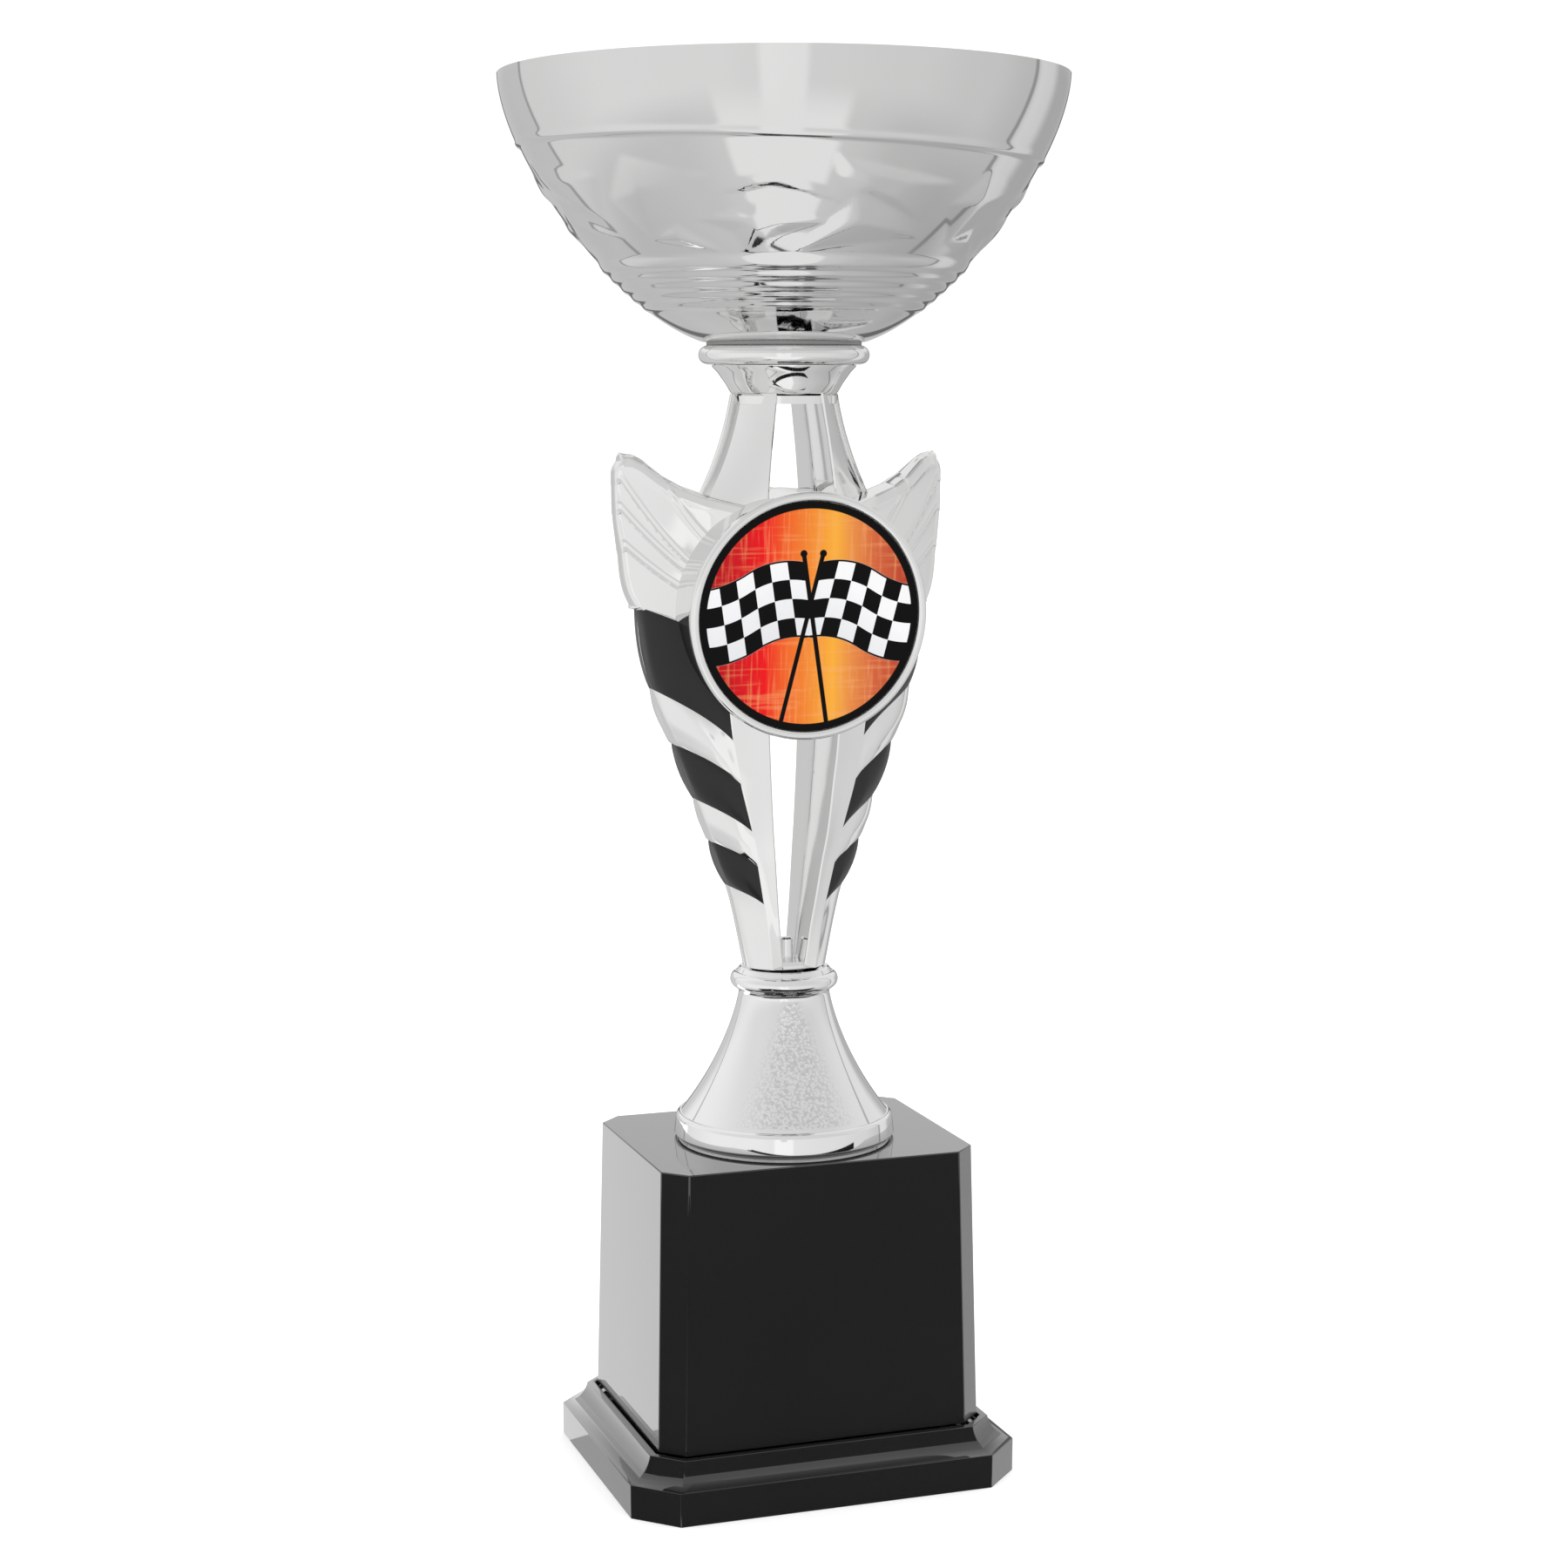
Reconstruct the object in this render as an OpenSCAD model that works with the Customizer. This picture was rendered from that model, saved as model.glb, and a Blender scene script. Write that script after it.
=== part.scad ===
// Cup trophy: a thin metal bowl on a winged riser with a 50 mm disc, a flared foot and a hollow
// black base. Millimetres, +Z up, origin on the surface it stands on, front of the disc to -Y.

/* [Plinth] */
// Half width of the plinth at the floor
plinth_half_x = 44.8; // [42:0.1:50]
// Half depth of the plinth at the floor
plinth_half_y = 36.9; // [34:0.1:42]
// Corner chamfer of the plinth
plinth_chamfer = 8.7; // [6:0.1:10]
// Height of the plinth's upright band
plinth_band_h = 7.5; // [6:0.1:9]
// Whole height of the plinth, with its cove
plinth_h = 12.8; // [11:0.1:16]

/* [Base block] */
// Half width of the block at its foot
block_half_x = 37.4; // [34:0.1:38]
// Half depth of the block at its foot
block_half_y = 29.5; // [26:0.1:30]
// Draft of each side of the block from foot to top
block_draft = 1.3; // [0:0.1:2]
// Corner chamfer of the block
block_chamfer = 4.9; // [3:0.1:6]
// Height of the block
block_h = 62; // [50:1:80]
// Wall thickness of the block
block_wall = 2.2; // [1.8:0.1:3]
// Thickness of the block's top
block_top_t = 3; // [2.5:0.5:5]

/* [Flared foot] */
// Radius of the foot's base ring
foot_r = 24.8; // [22:0.1:26]
// Height of the foot's base ring
foot_ring_h = 5.7; // [4:0.1:7]
// Whole height of the foot, with its bead
foot_h = 38.8; // [34:0.1:44]
// Radius of the foot's neck under the bead
foot_neck_r = 10.2; // [10:0.1:12]
// Outer radius of the bead
foot_bead_r = 12.1; // [12:0.1:14]

/* [Riser] */
// Height of the riser above the foot
riser_h = 127.2; // [126:0.1:129]
// Half width across the wing tips
wing_half = 38.5; // [38:0.1:40]
// How far the wing tips are swept back
wing_sweep = 4; // [2:0.5:5]
// Wall thickness of the two moulded halves
riser_wall = 2; // [1.6:0.1:2.2]

/* [Disc] */
// Radius of the printed disc
disc_r = 25; // [24:0.5:25]
// Height of the disc's centre above the floor
disc_z = 193; // [190:0.5:196]
// Distance of the disc's face in front of the axis
disc_y = 17.1; // [15:0.1:19]
// Forward lean of the disc, in degrees
disc_tilt = 3.7; // [0:0.1:5]
// Width of the plated ring around the disc
bezel_w = 2; // [1.5:0.1:2]

/* [Cup] */
// Radius of the bowl's rim
rim_r = 61.9; // [56:0.1:66]
// Height of the bowl
bowl_h = 56.8; // [50:0.1:64]
// Radius of the bowl's flat bottom
bowl_floor_r = 17.9; // [16:0.1:19]
// Thickness of the sheet metal
sheet = 0.8; // [0.6:0.1:1.2]
// Radius of the neck collar's bead
collar_r = 18.75; // [18:0.05:20]
// Height of the neck collar
collar_h = 10.5; // [9.5:0.1:12]

/* [Hidden] */
$fn = 96;
eps = 0.1;

chrome = [0.83, 0.84, 0.85];
gloss_black = [0.04, 0.04, 0.045];
steel = [0.62, 0.63, 0.65];

// Heights, from the floor up
block_z = plinth_h;
block_top = block_z + block_h;
riser_z = block_top + foot_h;
riser_top = riser_z + riser_h;
seat_z = riser_top + collar_h;
seat_t = 0.7;
bowl_z = seat_z + seat_t;

// Plinth and base inside
plinth_rim = 3;
plinth_wall = 6;
plinth_deck_t = 3;
pad_t = 1.2;
lip_gap = 0.2;
lip_t = 1.4;
lip_h = 2;
cove_steps = 6;
cove_step_in = 1.2;
edge_round = 0.8;
boss_inset = 8.3;
boss_r = 4;
weight_size = [48, 44, 10];

// Plinth screws, self-tapping
screw_r = 1.5;
screw_gap = 0.05;
screw_len = 15;
screw_head_r = 3.2;
screw_head_h = 2.2;

// M6 tie bolt, nut and washer
m6_r = 3;
m6_hole_r = 3.3;
m6_flats = 10;
m6_head_h = 4;
m6_nut_h = 5;
m6_washer = [6, 1.2];
tie_len = 40;

// M5 cup screw, nut and washer
m5_r = 2.5;
m5_hole_r = 2.75;
m5_flats = 8;
m5_nut_h = 4;
m5_washer = [5, 1];
m5_head = [4.75, 3.2];
cup_screw_len = 12;
thread_gap = 0.05;

// Foot socket and riser spigot
spigot_r = 8;
spigot_h = 15.6;
socket_web = 3;
foot_wall = 1.6;
nut_seat = 2.5;
bead_round = foot_bead_r - foot_neck_r;
ring_round = 1.2;

// Neck collar
collar_foot_r = 11.8;
collar_waist_r = 15.9;
collar_cone_h = 6;
collar_bead = 2.1;
collar_web_t = 2.2;
peg_r = 1.4;
peg_len = 5;
peg_x = 8;

// Riser: drum, slots, locating pegs between the halves
drum_r = 26.3;
drum_back = 1.6;
slot_corner = 1.5;
wing_peg = [31, 206];
leg_peg = [13, 152];
half_peg_r = 1.3;
half_peg_len = 3;
half_boss_r = 2.6;
region = 60;

// ---- shared shapes ----

// A rectangle with chamfered corners, as the eight points of its outline at height z.
function chamfered(hx, hy, c, z) =
    [for (p = [[hx, hy - c], [hx - c, hy], [c - hx, hy], [-hx, hy - c],
               [-hx, c - hy], [c - hx, -hy], [hx - c, -hy], [hx, c - hy]]) [p.x, p.y, z]];

// A solid through a stack of outlines that all have the same number of points.
module loft(rings) {
    n = len(rings[0]);
    last = len(rings) - 1;
    polyhedron(
        points = [for (ring = rings) each ring],
        faces = concat(
            [[for (i = [0:n - 1]) i]],
            [for (k = [0:last - 1], i = [0:n - 1])
                [k * n + i, (k + 1) * n + i, (k + 1) * n + (i + 1) % n]],
            [for (k = [0:last - 1], i = [0:n - 1])
                [k * n + i, (k + 1) * n + (i + 1) % n, k * n + (i + 1) % n]],
            [[for (i = [n - 1:-1:0]) last * n + i]]));
}

// A point of a cubic curve at t.
function cubic(a, b, c, d, t) =
    pow(1 - t, 3) * a + 3 * pow(1 - t, 2) * t * b + 3 * (1 - t) * t * t * c + pow(t, 3) * d;

// The direction of the same curve at t.
function cubic_slope(a, b, c, d, t) =
    3 * pow(1 - t, 2) * (b - a) + 6 * (1 - t) * t * (c - b) + 3 * t * t * (d - c);

module hex_prism(flats, h) {
    cylinder(r = flats / 2 / cos(30), h = h, $fn = 6);
}

module hex_nut(flats, h, r) {
    difference() {
        hex_prism(flats, h);
        translate([0, 0, -eps]) cylinder(r = r + thread_gap, h = h + 2 * eps);
    }
}

module washer(size, hole_r) {
    difference() {
        cylinder(r = size[0], h = size[1]);
        translate([0, 0, -eps]) cylinder(r = hole_r, h = size[1] + 2 * eps);
    }
}

module at_corners(x, y) {
    for (sx = [-1, 1], sy = [-1, 1]) translate([sx * x, sy * y, 0]) children();
}

// ---- base ----

boss_x = block_half_x - boss_inset;
boss_y = block_half_y - boss_inset;

module base_pad() {
    color([0.06, 0.06, 0.06])
    loft([for (z = [0, pad_t]) chamfered(plinth_half_x - plinth_rim, plinth_half_y - plinth_rim,
        plinth_chamfer - plinth_rim / 2, z)]);
}

module plinth_body() {
    reach = plinth_half_x - block_half_x - cove_step_in;
    rise = plinth_h - plinth_band_h;
    loft(concat(
        [chamfered(plinth_half_x, plinth_half_y, plinth_chamfer, 0),
         chamfered(plinth_half_x, plinth_half_y, plinth_chamfer, plinth_band_h)],
        [for (i = [0:cove_steps])
            let (a = 90 * i / cove_steps, inward = cove_step_in + reach * sin(a))
            chamfered(plinth_half_x - inward, plinth_half_y - inward,
                plinth_chamfer - inward / 2, plinth_band_h + eps + (rise - eps) * (1 - cos(a)))]));
}

module base_plinth() {
    color(gloss_black)
    difference() {
        union() {
            plinth_body();
            loft([for (z = [plinth_h - eps, plinth_h + lip_h])
                chamfered(block_half_x - block_wall - lip_gap, block_half_y - block_wall - lip_gap,
                    block_chamfer, z)]);
        }
        loft([for (z = [-eps, pad_t]) chamfered(plinth_half_x - plinth_rim,
            plinth_half_y - plinth_rim, plinth_chamfer - plinth_rim / 2, z)]);
        loft([for (z = [0, plinth_h - plinth_deck_t]) chamfered(plinth_half_x - plinth_wall - 2,
            plinth_half_y - plinth_wall - 2, plinth_chamfer - 4, z)]);
        loft([for (z = [plinth_h, plinth_h + lip_h + eps])
            chamfered(block_half_x - block_wall - lip_gap - lip_t,
                block_half_y - block_wall - lip_gap - lip_t, block_chamfer - 1, z)]);
        at_corners(boss_x, boss_y) cylinder(r = screw_r + 0.4, h = plinth_h + eps);
    }
}

module plinth_screws() {
    head_z = plinth_h - plinth_deck_t - screw_head_h;
    color(steel)
    at_corners(boss_x, boss_y) translate([0, 0, head_z]) difference() {
        union() {
            cylinder(r = screw_head_r, h = screw_head_h);
            cylinder(r = screw_r, h = screw_head_h + screw_len);
        }
        translate([0, 0, -eps]) cylinder(r = 1.4, h = 1.3, $fn = 4);
    }
}

module base_weight() {
    color([0.35, 0.36, 0.38])
    translate([0, 0, plinth_h + weight_size.z / 2]) cube(weight_size, center = true);
}

module base_block() {
    inner_x = block_half_x - block_wall;
    inner_y = block_half_y - block_wall;
    top_x = block_half_x - block_draft;
    top_y = block_half_y - block_draft;
    color(gloss_black)
    difference() {
        union() {
            difference() {
                loft([chamfered(block_half_x, block_half_y, block_chamfer, block_z),
                    chamfered(top_x, top_y, block_chamfer, block_top - edge_round),
                    chamfered(top_x - edge_round * 0.3, top_y - edge_round * 0.3, block_chamfer,
                        block_top - edge_round * 0.3),
                    chamfered(top_x - edge_round, top_y - edge_round, block_chamfer, block_top)]);
                loft([chamfered(inner_x, inner_y, block_chamfer - 1, block_z - eps),
                    chamfered(inner_x - block_draft, inner_y - block_draft, block_chamfer - 1,
                        block_top - block_top_t)]);
            }
            at_corners(boss_x, boss_y) translate([0, 0, block_z])
                cylinder(r = boss_r, h = block_h - block_top_t + eps);
        }
        translate([0, 0, block_top - block_top_t - eps]) cylinder(r = m6_hole_r, h = 2 * block_top_t);
        at_corners(boss_x, boss_y) translate([0, 0, block_z - eps])
            cylinder(r = screw_r + screw_gap, h = screw_len);
    }
}

module tie_washer() {
    color(steel)
    translate([0, 0, block_top - block_top_t - m6_washer[1]]) washer(m6_washer, m6_hole_r);
}

module tie_bolt() {
    under_head = block_top - block_top_t - m6_washer[1];
    color(steel)
    union() {
        translate([0, 0, under_head - m6_head_h]) hex_prism(m6_flats, m6_head_h);
        translate([0, 0, under_head - eps]) cylinder(r = m6_r, h = tie_len + eps);
    }
}

// ---- flared foot ----

module flared_foot() {
    socket_z = riser_z - spigot_h;
    neck_z = riser_z - 5.6;
    bead_z = neck_z + bead_round * 1.4;
    cone_z = block_top + foot_ring_h;
    cone = function (t, wall) cubic([foot_neck_r - wall, neck_z], [foot_neck_r + 1.4 - wall, neck_z - 8],
        [foot_r - 8.6 - wall, cone_z + 9], [foot_r - 1.6 - wall, cone_z], t);
    color(chrome)
    difference() {
        rotate_extrude() union() {
            polygon(concat(
                [[0, block_top], [foot_r - ring_round / 2, block_top],
                 [foot_r, block_top + ring_round / 2], [foot_r, cone_z - ring_round],
                 [foot_r - ring_round * 0.3, cone_z - ring_round * 0.3],
                 [foot_r - ring_round, cone_z]],
                [for (i = [16:-1:0]) cone(i / 16, 0)],
                [[foot_neck_r, riser_z], [0, riser_z]]));
            translate([foot_neck_r, bead_z]) circle(r = bead_round);
        }
        rotate_extrude() polygon(concat([[0, socket_z - socket_web]],
            [for (i = [6:16]) let (p = cone(i / 16, foot_wall)) [p.x, min(p.y, socket_z - socket_web)]],
            [[foot_r - 3.2, cone_z], [foot_r - 3.2, block_top - eps], [0, block_top - eps]]));
        translate([0, 0, socket_z]) cylinder(r = spigot_r + thread_gap, h = spigot_h + eps);
        translate([0, 0, socket_z - socket_web - eps]) cylinder(r = m6_hole_r, h = 2 * socket_web);
    }
}

module foot_nut() {
    color(steel) translate([0, 0, riser_z - spigot_h + nut_seat]) hex_nut(m6_flats, m6_nut_h, m6_r);
}

// ---- riser: one hollow body, split at the seam into two moulded halves ----

module on_front() {
    translate([0, -disc_y, disc_z]) rotate([90 + disc_tilt, 0, 0]) children();
}

module on_back() {
    mirror([0, 1, 0]) on_front() children();
}

module both_sides() {
    children();
    mirror([1, 0, 0]) children();
}

// A prism of an outline drawn in the front view, running the whole depth.
module through_y() {
    translate([0, region, 0]) rotate([90, 0, 0]) linear_extrude(height = 2 * region) children();
}

// One level of the legs: a flat front and back face, bevelled to a narrow side.
function leg_ring(z, face_x, side_x, face_y, side_y, in) =
    [for (p = [[side_x - in, side_y - in / 2], [face_x - in / 2, face_y - in],
               [in / 2 - face_x, face_y - in], [in - side_x, side_y - in / 2],
               [in - side_x, in / 2 - side_y], [in / 2 - face_x, in - face_y],
               [face_x - in / 2, in - face_y], [side_x - in, in / 2 - side_y]]) [p.x, p.y, z]];

module lower_legs(in) {
    loft([leg_ring(riser_z, 4.6, 9, 7.4, 2.6, in),
        leg_ring(riser_z + 16.4, 6.4, 12.4, 8.9, 2.6, in),
        leg_ring(riser_z + 33, 9.6, 19.8, 11, 3, in),
        leg_ring(riser_z + 54, 14, 25.6, 12.5, 4, in),
        leg_ring(disc_z, 15, 25.8, 12.5, 6, in)]);
}

module upper_legs(in) {
    loft([leg_ring(disc_z, 14, 20.5, 12.5, 5.6, in),
        leg_ring(riser_top - 22, 12.2, 18.6, 12.4, 5, in),
        leg_ring(riser_top - 9, 9.4, 13.8, 11, 4.6, in),
        leg_ring(riser_top, 7.4, 11.2, 10, 4.2, in)]);
}

module wing_outline() {
    polygon([[14, riser_z + 46], [24.5, riser_z + 48.4], [26.6, riser_z + 53], [29, riser_z + 58],
        [30.4, riser_z + 64], [33.6, riser_z + 75], [35.2, riser_z + 84], [37, riser_z + 95],
        [wing_half, riser_z + 107], [wing_half, riser_z + 112.2], [wing_half - 1.4, riser_z + 113.6],
        [wing_half - 3.4, riser_z + 112.4], [31, riser_z + 106.8], [24, riser_z + 102.8],
        [14, riser_z + 100.6]]);
}

module wing_plan() {
    polygon([[-eps, -6.6], [20, -6], [27, -5], [wing_half + 1, -6 + wing_sweep],
        [wing_half + 1, 5 + wing_sweep], [27, 7.6], [20, 6.6], [-eps, 6.6]]);
}

module wing(in) {
    intersection() {
        through_y() offset(delta = -in) wing_outline();
        linear_extrude(height = riser_top) offset(delta = -in) wing_plan();
    }
}

module drum(in) {
    intersection() {
        on_front() translate([0, 0, -2 * disc_y]) cylinder(r = drum_r - in, h = 2 * disc_y - drum_back - in);
        translate([-region, -region, 0]) cube([2 * region, region, riser_top]);
    }
}

module riser_solid(in) {
    union() {
        lower_legs(in);
        upper_legs(in);
        both_sides() wing(in);
        drum(in);
        mirror([0, 1, 0]) drum(in);
    }
}

module slots(out) {
    through_y() offset(r = out + slot_corner, $fn = 24) offset(delta = -slot_corner) {
        polygon([[-4.4, riser_top - 1.2], [4.4, riser_top - 1.2], [7.6, riser_top - 24],
            [-7.6, riser_top - 24]]);
        polygon([[-7.6, riser_z + 56], [7.6, riser_z + 56], [1.8, riser_z + 1.2],
            [-1.8, riser_z + 1.2]]);
    }
}

module drum_plugs(in) {
    intersection() {
        union() {
            drum(in);
            mirror([0, 1, 0]) drum(in);
        }
        translate([-region, -region, riser_z + 52]) cube([2 * region, 2 * region, 54]);
    }
}

module riser_cavity() {
    difference() {
        intersection() {
            riser_solid(riser_wall);
            translate([-region, -region, riser_z + 7]) cube([2 * region, 2 * region, riser_h - 14]);
        }
        difference() {
            slots(riser_wall);
            drum_plugs(riser_wall);
        }
        for (p = [wing_peg, leg_peg]) both_sides() translate([p.x, region, p.y])
            rotate([90, 0, 0]) cylinder(r = half_boss_r, h = 2 * region);
    }
}

module riser_shell() {
    difference() {
        union() {
            riser_solid(0);
            translate([0, 0, riser_z - spigot_h]) cylinder(r = spigot_r, h = spigot_h + eps);
        }
        riser_cavity();
        difference() {
            slots(0);
            drum_plugs(0);
        }
        translate([0, 0, riser_z - spigot_h + nut_seat]) hex_prism(m6_flats + thread_gap, m6_nut_h);
        translate([0, 0, riser_z - spigot_h - eps]) cylinder(r = m6_hole_r, h = spigot_h - 2);
        for (sx = [-1, 1]) translate([sx * peg_x, 0, riser_top - peg_len - 0.2])
            cylinder(r = peg_r + thread_gap, h = peg_len + 1);
    }
}

// Distance of the seam behind the axis plane at a given distance from the axis.
function seam_y(x) = wing_sweep * max(0, x - 20) / (wing_half - 20);

module seam_side(front) {
    s = front ? -1 : 1;
    far = seam_y(region);
    linear_extrude(height = riser_top + eps)
    polygon([[-region, s * region], [-region, far], [-20, 0], [20, 0], [region, far],
        [region, s * region]]);
}

module half_pegs(extra) {
    for (p = [wing_peg, leg_peg]) both_sides()
        translate([p.x, seam_y(p.x) + half_peg_len + extra, p.y]) rotate([90, 0, 0])
            cylinder(r = half_peg_r + extra, h = half_peg_len + 1 + extra);
}

module riser_front_half() {
    color(chrome) union() {
        intersection() {
            riser_shell();
            seam_side(true);
        }
        half_pegs(0);
    }
}

module riser_back_half() {
    color(chrome) difference() {
        intersection() {
            riser_shell();
            seam_side(false);
        }
        half_pegs(thread_gap);
    }
}

// ---- disc ----

module ring_piece() {
    rotate_extrude() union() {
        translate([disc_r, -drum_back]) square([bezel_w, drum_back]);
        translate([disc_r + bezel_w / 2, 0]) circle(r = bezel_w / 2);
    }
}

module bezel_ring() { color(chrome) on_front() ring_piece(); }

module back_bezel_ring() { color(chrome) on_back() ring_piece(); }

module insert_disc() {
    color([0.75, 0.75, 0.76]) on_front()
        translate([0, 0, -drum_back]) cylinder(r = disc_r, h = drum_back - 0.4);
}

module insert_print() {
    color([0.93, 0.35, 0.1]) on_front() translate([0, 0, -0.4]) cylinder(r = disc_r, h = 0.4);
}

module back_disc() {
    color(chrome) on_back() translate([0, 0, -drum_back]) cylinder(r = disc_r, h = drum_back);
}

// ---- neck and cup ----

module neck_collar() {
    waist = collar_h - collar_bead * 2 - 0.2;
    web_z = collar_h - collar_web_t;
    color(chrome)
    translate([0, 0, riser_top]) difference() {
        union() {
            rotate_extrude() difference() {
                union() {
                    polygon([[0, 0], [collar_foot_r, 0], [collar_waist_r - 0.8, waist - 0.6],
                        [collar_waist_r, waist], [collar_waist_r - 0.6, collar_h], [0, collar_h]]);
                    translate([0, collar_h - 2 * collar_bead])
                        square([collar_r - collar_bead, 2 * collar_bead]);
                    translate([collar_r - collar_bead, collar_h - collar_bead]) circle(r = collar_bead);
                }
                polygon([[0, -eps], [collar_foot_r - 1.6, -eps], [collar_waist_r - 2, collar_cone_h],
                    [collar_waist_r - 2, web_z], [0, web_z]]);
            }
            translate([0, 0, web_z - m5_nut_h]) cylinder(r = 6.4, h = m5_nut_h + eps);
            for (sx = [-1, 1]) translate([sx * peg_x, 0, 0]) {
                cylinder(r = 2.4, h = web_z + eps);
                translate([0, 0, -peg_len]) cylinder(r = peg_r, h = peg_len + eps);
            }
        }
        translate([0, 0, web_z - m5_nut_h - eps]) hex_prism(m5_flats + thread_gap, m5_nut_h + eps);
        translate([0, 0, web_z - eps]) cylinder(r = m5_hole_r, h = collar_web_t + 2 * eps);
    }
}

module cup_nut() {
    color(steel) translate([0, 0, seat_z - collar_web_t - m5_nut_h]) hex_nut(m5_flats, m5_nut_h, m5_r);
}

module cup_seat() {
    color([0.35, 0.35, 0.36]) translate([0, 0, seat_z]) washer([bowl_floor_r - 0.9, seat_t], m5_hole_r);
}

// The bowl's side in radius and height: nearly flat at the floor, nearly upright at the rim.
bowl_curve = [[bowl_floor_r, 0], [36.8, 6.3], [rim_r - 0.7, bowl_h - 18.5], [rim_r, bowl_h]];

// A point of the bowl's side, moved inwards by a distance along its normal.
function bowl_point(t, inward) =
    let (p = cubic(bowl_curve[0], bowl_curve[1], bowl_curve[2], bowl_curve[3], t),
         s = cubic_slope(bowl_curve[0], bowl_curve[1], bowl_curve[2], bowl_curve[3], t))
    p + inward * [-s.y, s.x] / norm(s);

module cup_bowl() {
    steps = 32;
    color(chrome)
    translate([0, 0, bowl_z]) difference() {
        rotate_extrude() polygon(concat(
            [[0, 0]],
            [for (i = [0:steps]) bowl_point(i / steps, 0)],
            [[rim_r - sheet, bowl_h]],
            [for (i = [steps - 1:-1:0]) bowl_point(i / steps, sheet)],
            [[0, sheet]]));
        translate([0, 0, -eps]) cylinder(r = m5_hole_r, h = 2 * sheet + eps);
    }
}

module cup_washer() {
    color(steel) translate([0, 0, bowl_z + sheet]) washer(m5_washer, m5_hole_r);
}

module cup_screw() {
    under_head = bowl_z + sheet + m5_washer[1];
    color(steel)
    difference() {
        union() {
            translate([0, 0, under_head - cup_screw_len]) cylinder(r = m5_r, h = cup_screw_len + eps);
            translate([0, 0, under_head]) cylinder(r = m5_head[0], h = m5_head[1]);
        }
        for (a = [0, 90]) translate([0, 0, under_head + m5_head[1]]) rotate([0, 0, a])
            cube([5, 1.1, 3.2], center = true);
    }
}

base_pad();
base_plinth();
plinth_screws();
base_weight();
base_block();
tie_bolt();
tie_washer();
flared_foot();
foot_nut();
riser_front_half();
riser_back_half();
bezel_ring();
insert_disc();
insert_print();
back_bezel_ring();
back_disc();
neck_collar();
cup_nut();
cup_seat();
cup_bowl();
cup_washer();
cup_screw();
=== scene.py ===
# %% [markdown]
# # A cup trophy
# A thin plated bowl stands on a winged riser with a printed disc, a flared foot and a gloss black
# base. The CAD frame holds every size and place. This lesson gives each visible piece its real
# surface: rolled and embossed sheet metal, plated mouldings, paint, print and gloss plastic.

# %% Load the frame
import math
import bpy
import numpy as np
from mathutils import Matrix, Vector


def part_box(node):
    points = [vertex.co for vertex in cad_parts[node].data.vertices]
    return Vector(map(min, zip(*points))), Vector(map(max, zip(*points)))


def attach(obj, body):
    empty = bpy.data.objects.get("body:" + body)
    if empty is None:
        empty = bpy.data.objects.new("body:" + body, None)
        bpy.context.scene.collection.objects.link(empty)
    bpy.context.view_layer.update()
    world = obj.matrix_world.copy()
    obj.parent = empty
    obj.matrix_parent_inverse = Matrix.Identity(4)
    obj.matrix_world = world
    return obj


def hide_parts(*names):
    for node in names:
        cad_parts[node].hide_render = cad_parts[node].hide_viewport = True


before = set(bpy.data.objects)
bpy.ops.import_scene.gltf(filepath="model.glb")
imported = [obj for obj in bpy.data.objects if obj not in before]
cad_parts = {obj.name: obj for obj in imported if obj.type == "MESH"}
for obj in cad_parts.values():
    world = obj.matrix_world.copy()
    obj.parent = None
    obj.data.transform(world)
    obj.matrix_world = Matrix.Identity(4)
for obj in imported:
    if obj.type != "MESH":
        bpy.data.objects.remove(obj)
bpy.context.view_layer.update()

BODY = "root"
MM = 0.001

# %% [markdown]
# ## Places, read from the frame
# The main heights and radii come from the boxes of the CAD nodes, in millimetres. The keys of the
# leg, the wing and the bowl's pads, further down, are fixed measurements in the same frame, and
# would need new values if those CAD parts changed.

# %% Places


def node_box(node):
    low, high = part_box(node)
    return [v / MM for v in low], [v / MM for v in high]


bowl_low, bowl_high = node_box("cup_bowl")
collar_low, collar_high = node_box("neck_collar")
foot_low, foot_high = node_box("flared_foot")
block_low, block_high = node_box("base_block")
plinth_low, plinth_high = node_box("base_plinth")
riser_low, riser_high = node_box("riser_front_half")
ring_low, ring_high = node_box("bezel_ring")
BOWL_Z, RIM_Z, RIM_R = bowl_low[2], bowl_high[2], bowl_high[0]
RISER_Z, RISER_TOP = foot_high[2], riser_high[2]
DISC_Z = (ring_low[2] + ring_high[2]) / 2
DISC_Y = 17.1
DISC_TILT = math.radians(3.7)
DISC_R, RING_W, DRUM_R = 25.0, 2.0, 26.3
WING_HALF, WING_SWEEP, SEAM_FLAT = riser_high[0], 4.0, 20.0
print("riser from", round(RISER_Z, 1), "to", round(RISER_TOP, 1), "disc at", round(DISC_Z, 1))

# %% [markdown]
# ## Modelling helpers
# Operators act on whatever is selected, so `only` leaves one object selected. `turned` draws an
# outline by extruding one vertex and spins it, as a lathe would. `sheet` moves a grid's rows on to
# given points, and `lofted` closes such a sheet into a solid skin, which suits a moulding whose
# section changes along its height.

# %% Helpers


def only(obj):
    bpy.ops.object.select_all(action="DESELECT")
    obj.select_set(True)
    bpy.context.view_layer.objects.active = obj


def edit_all(obj):
    only(obj)
    bpy.ops.object.mode_set(mode="EDIT")
    bpy.ops.mesh.select_all(action="SELECT")


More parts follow.
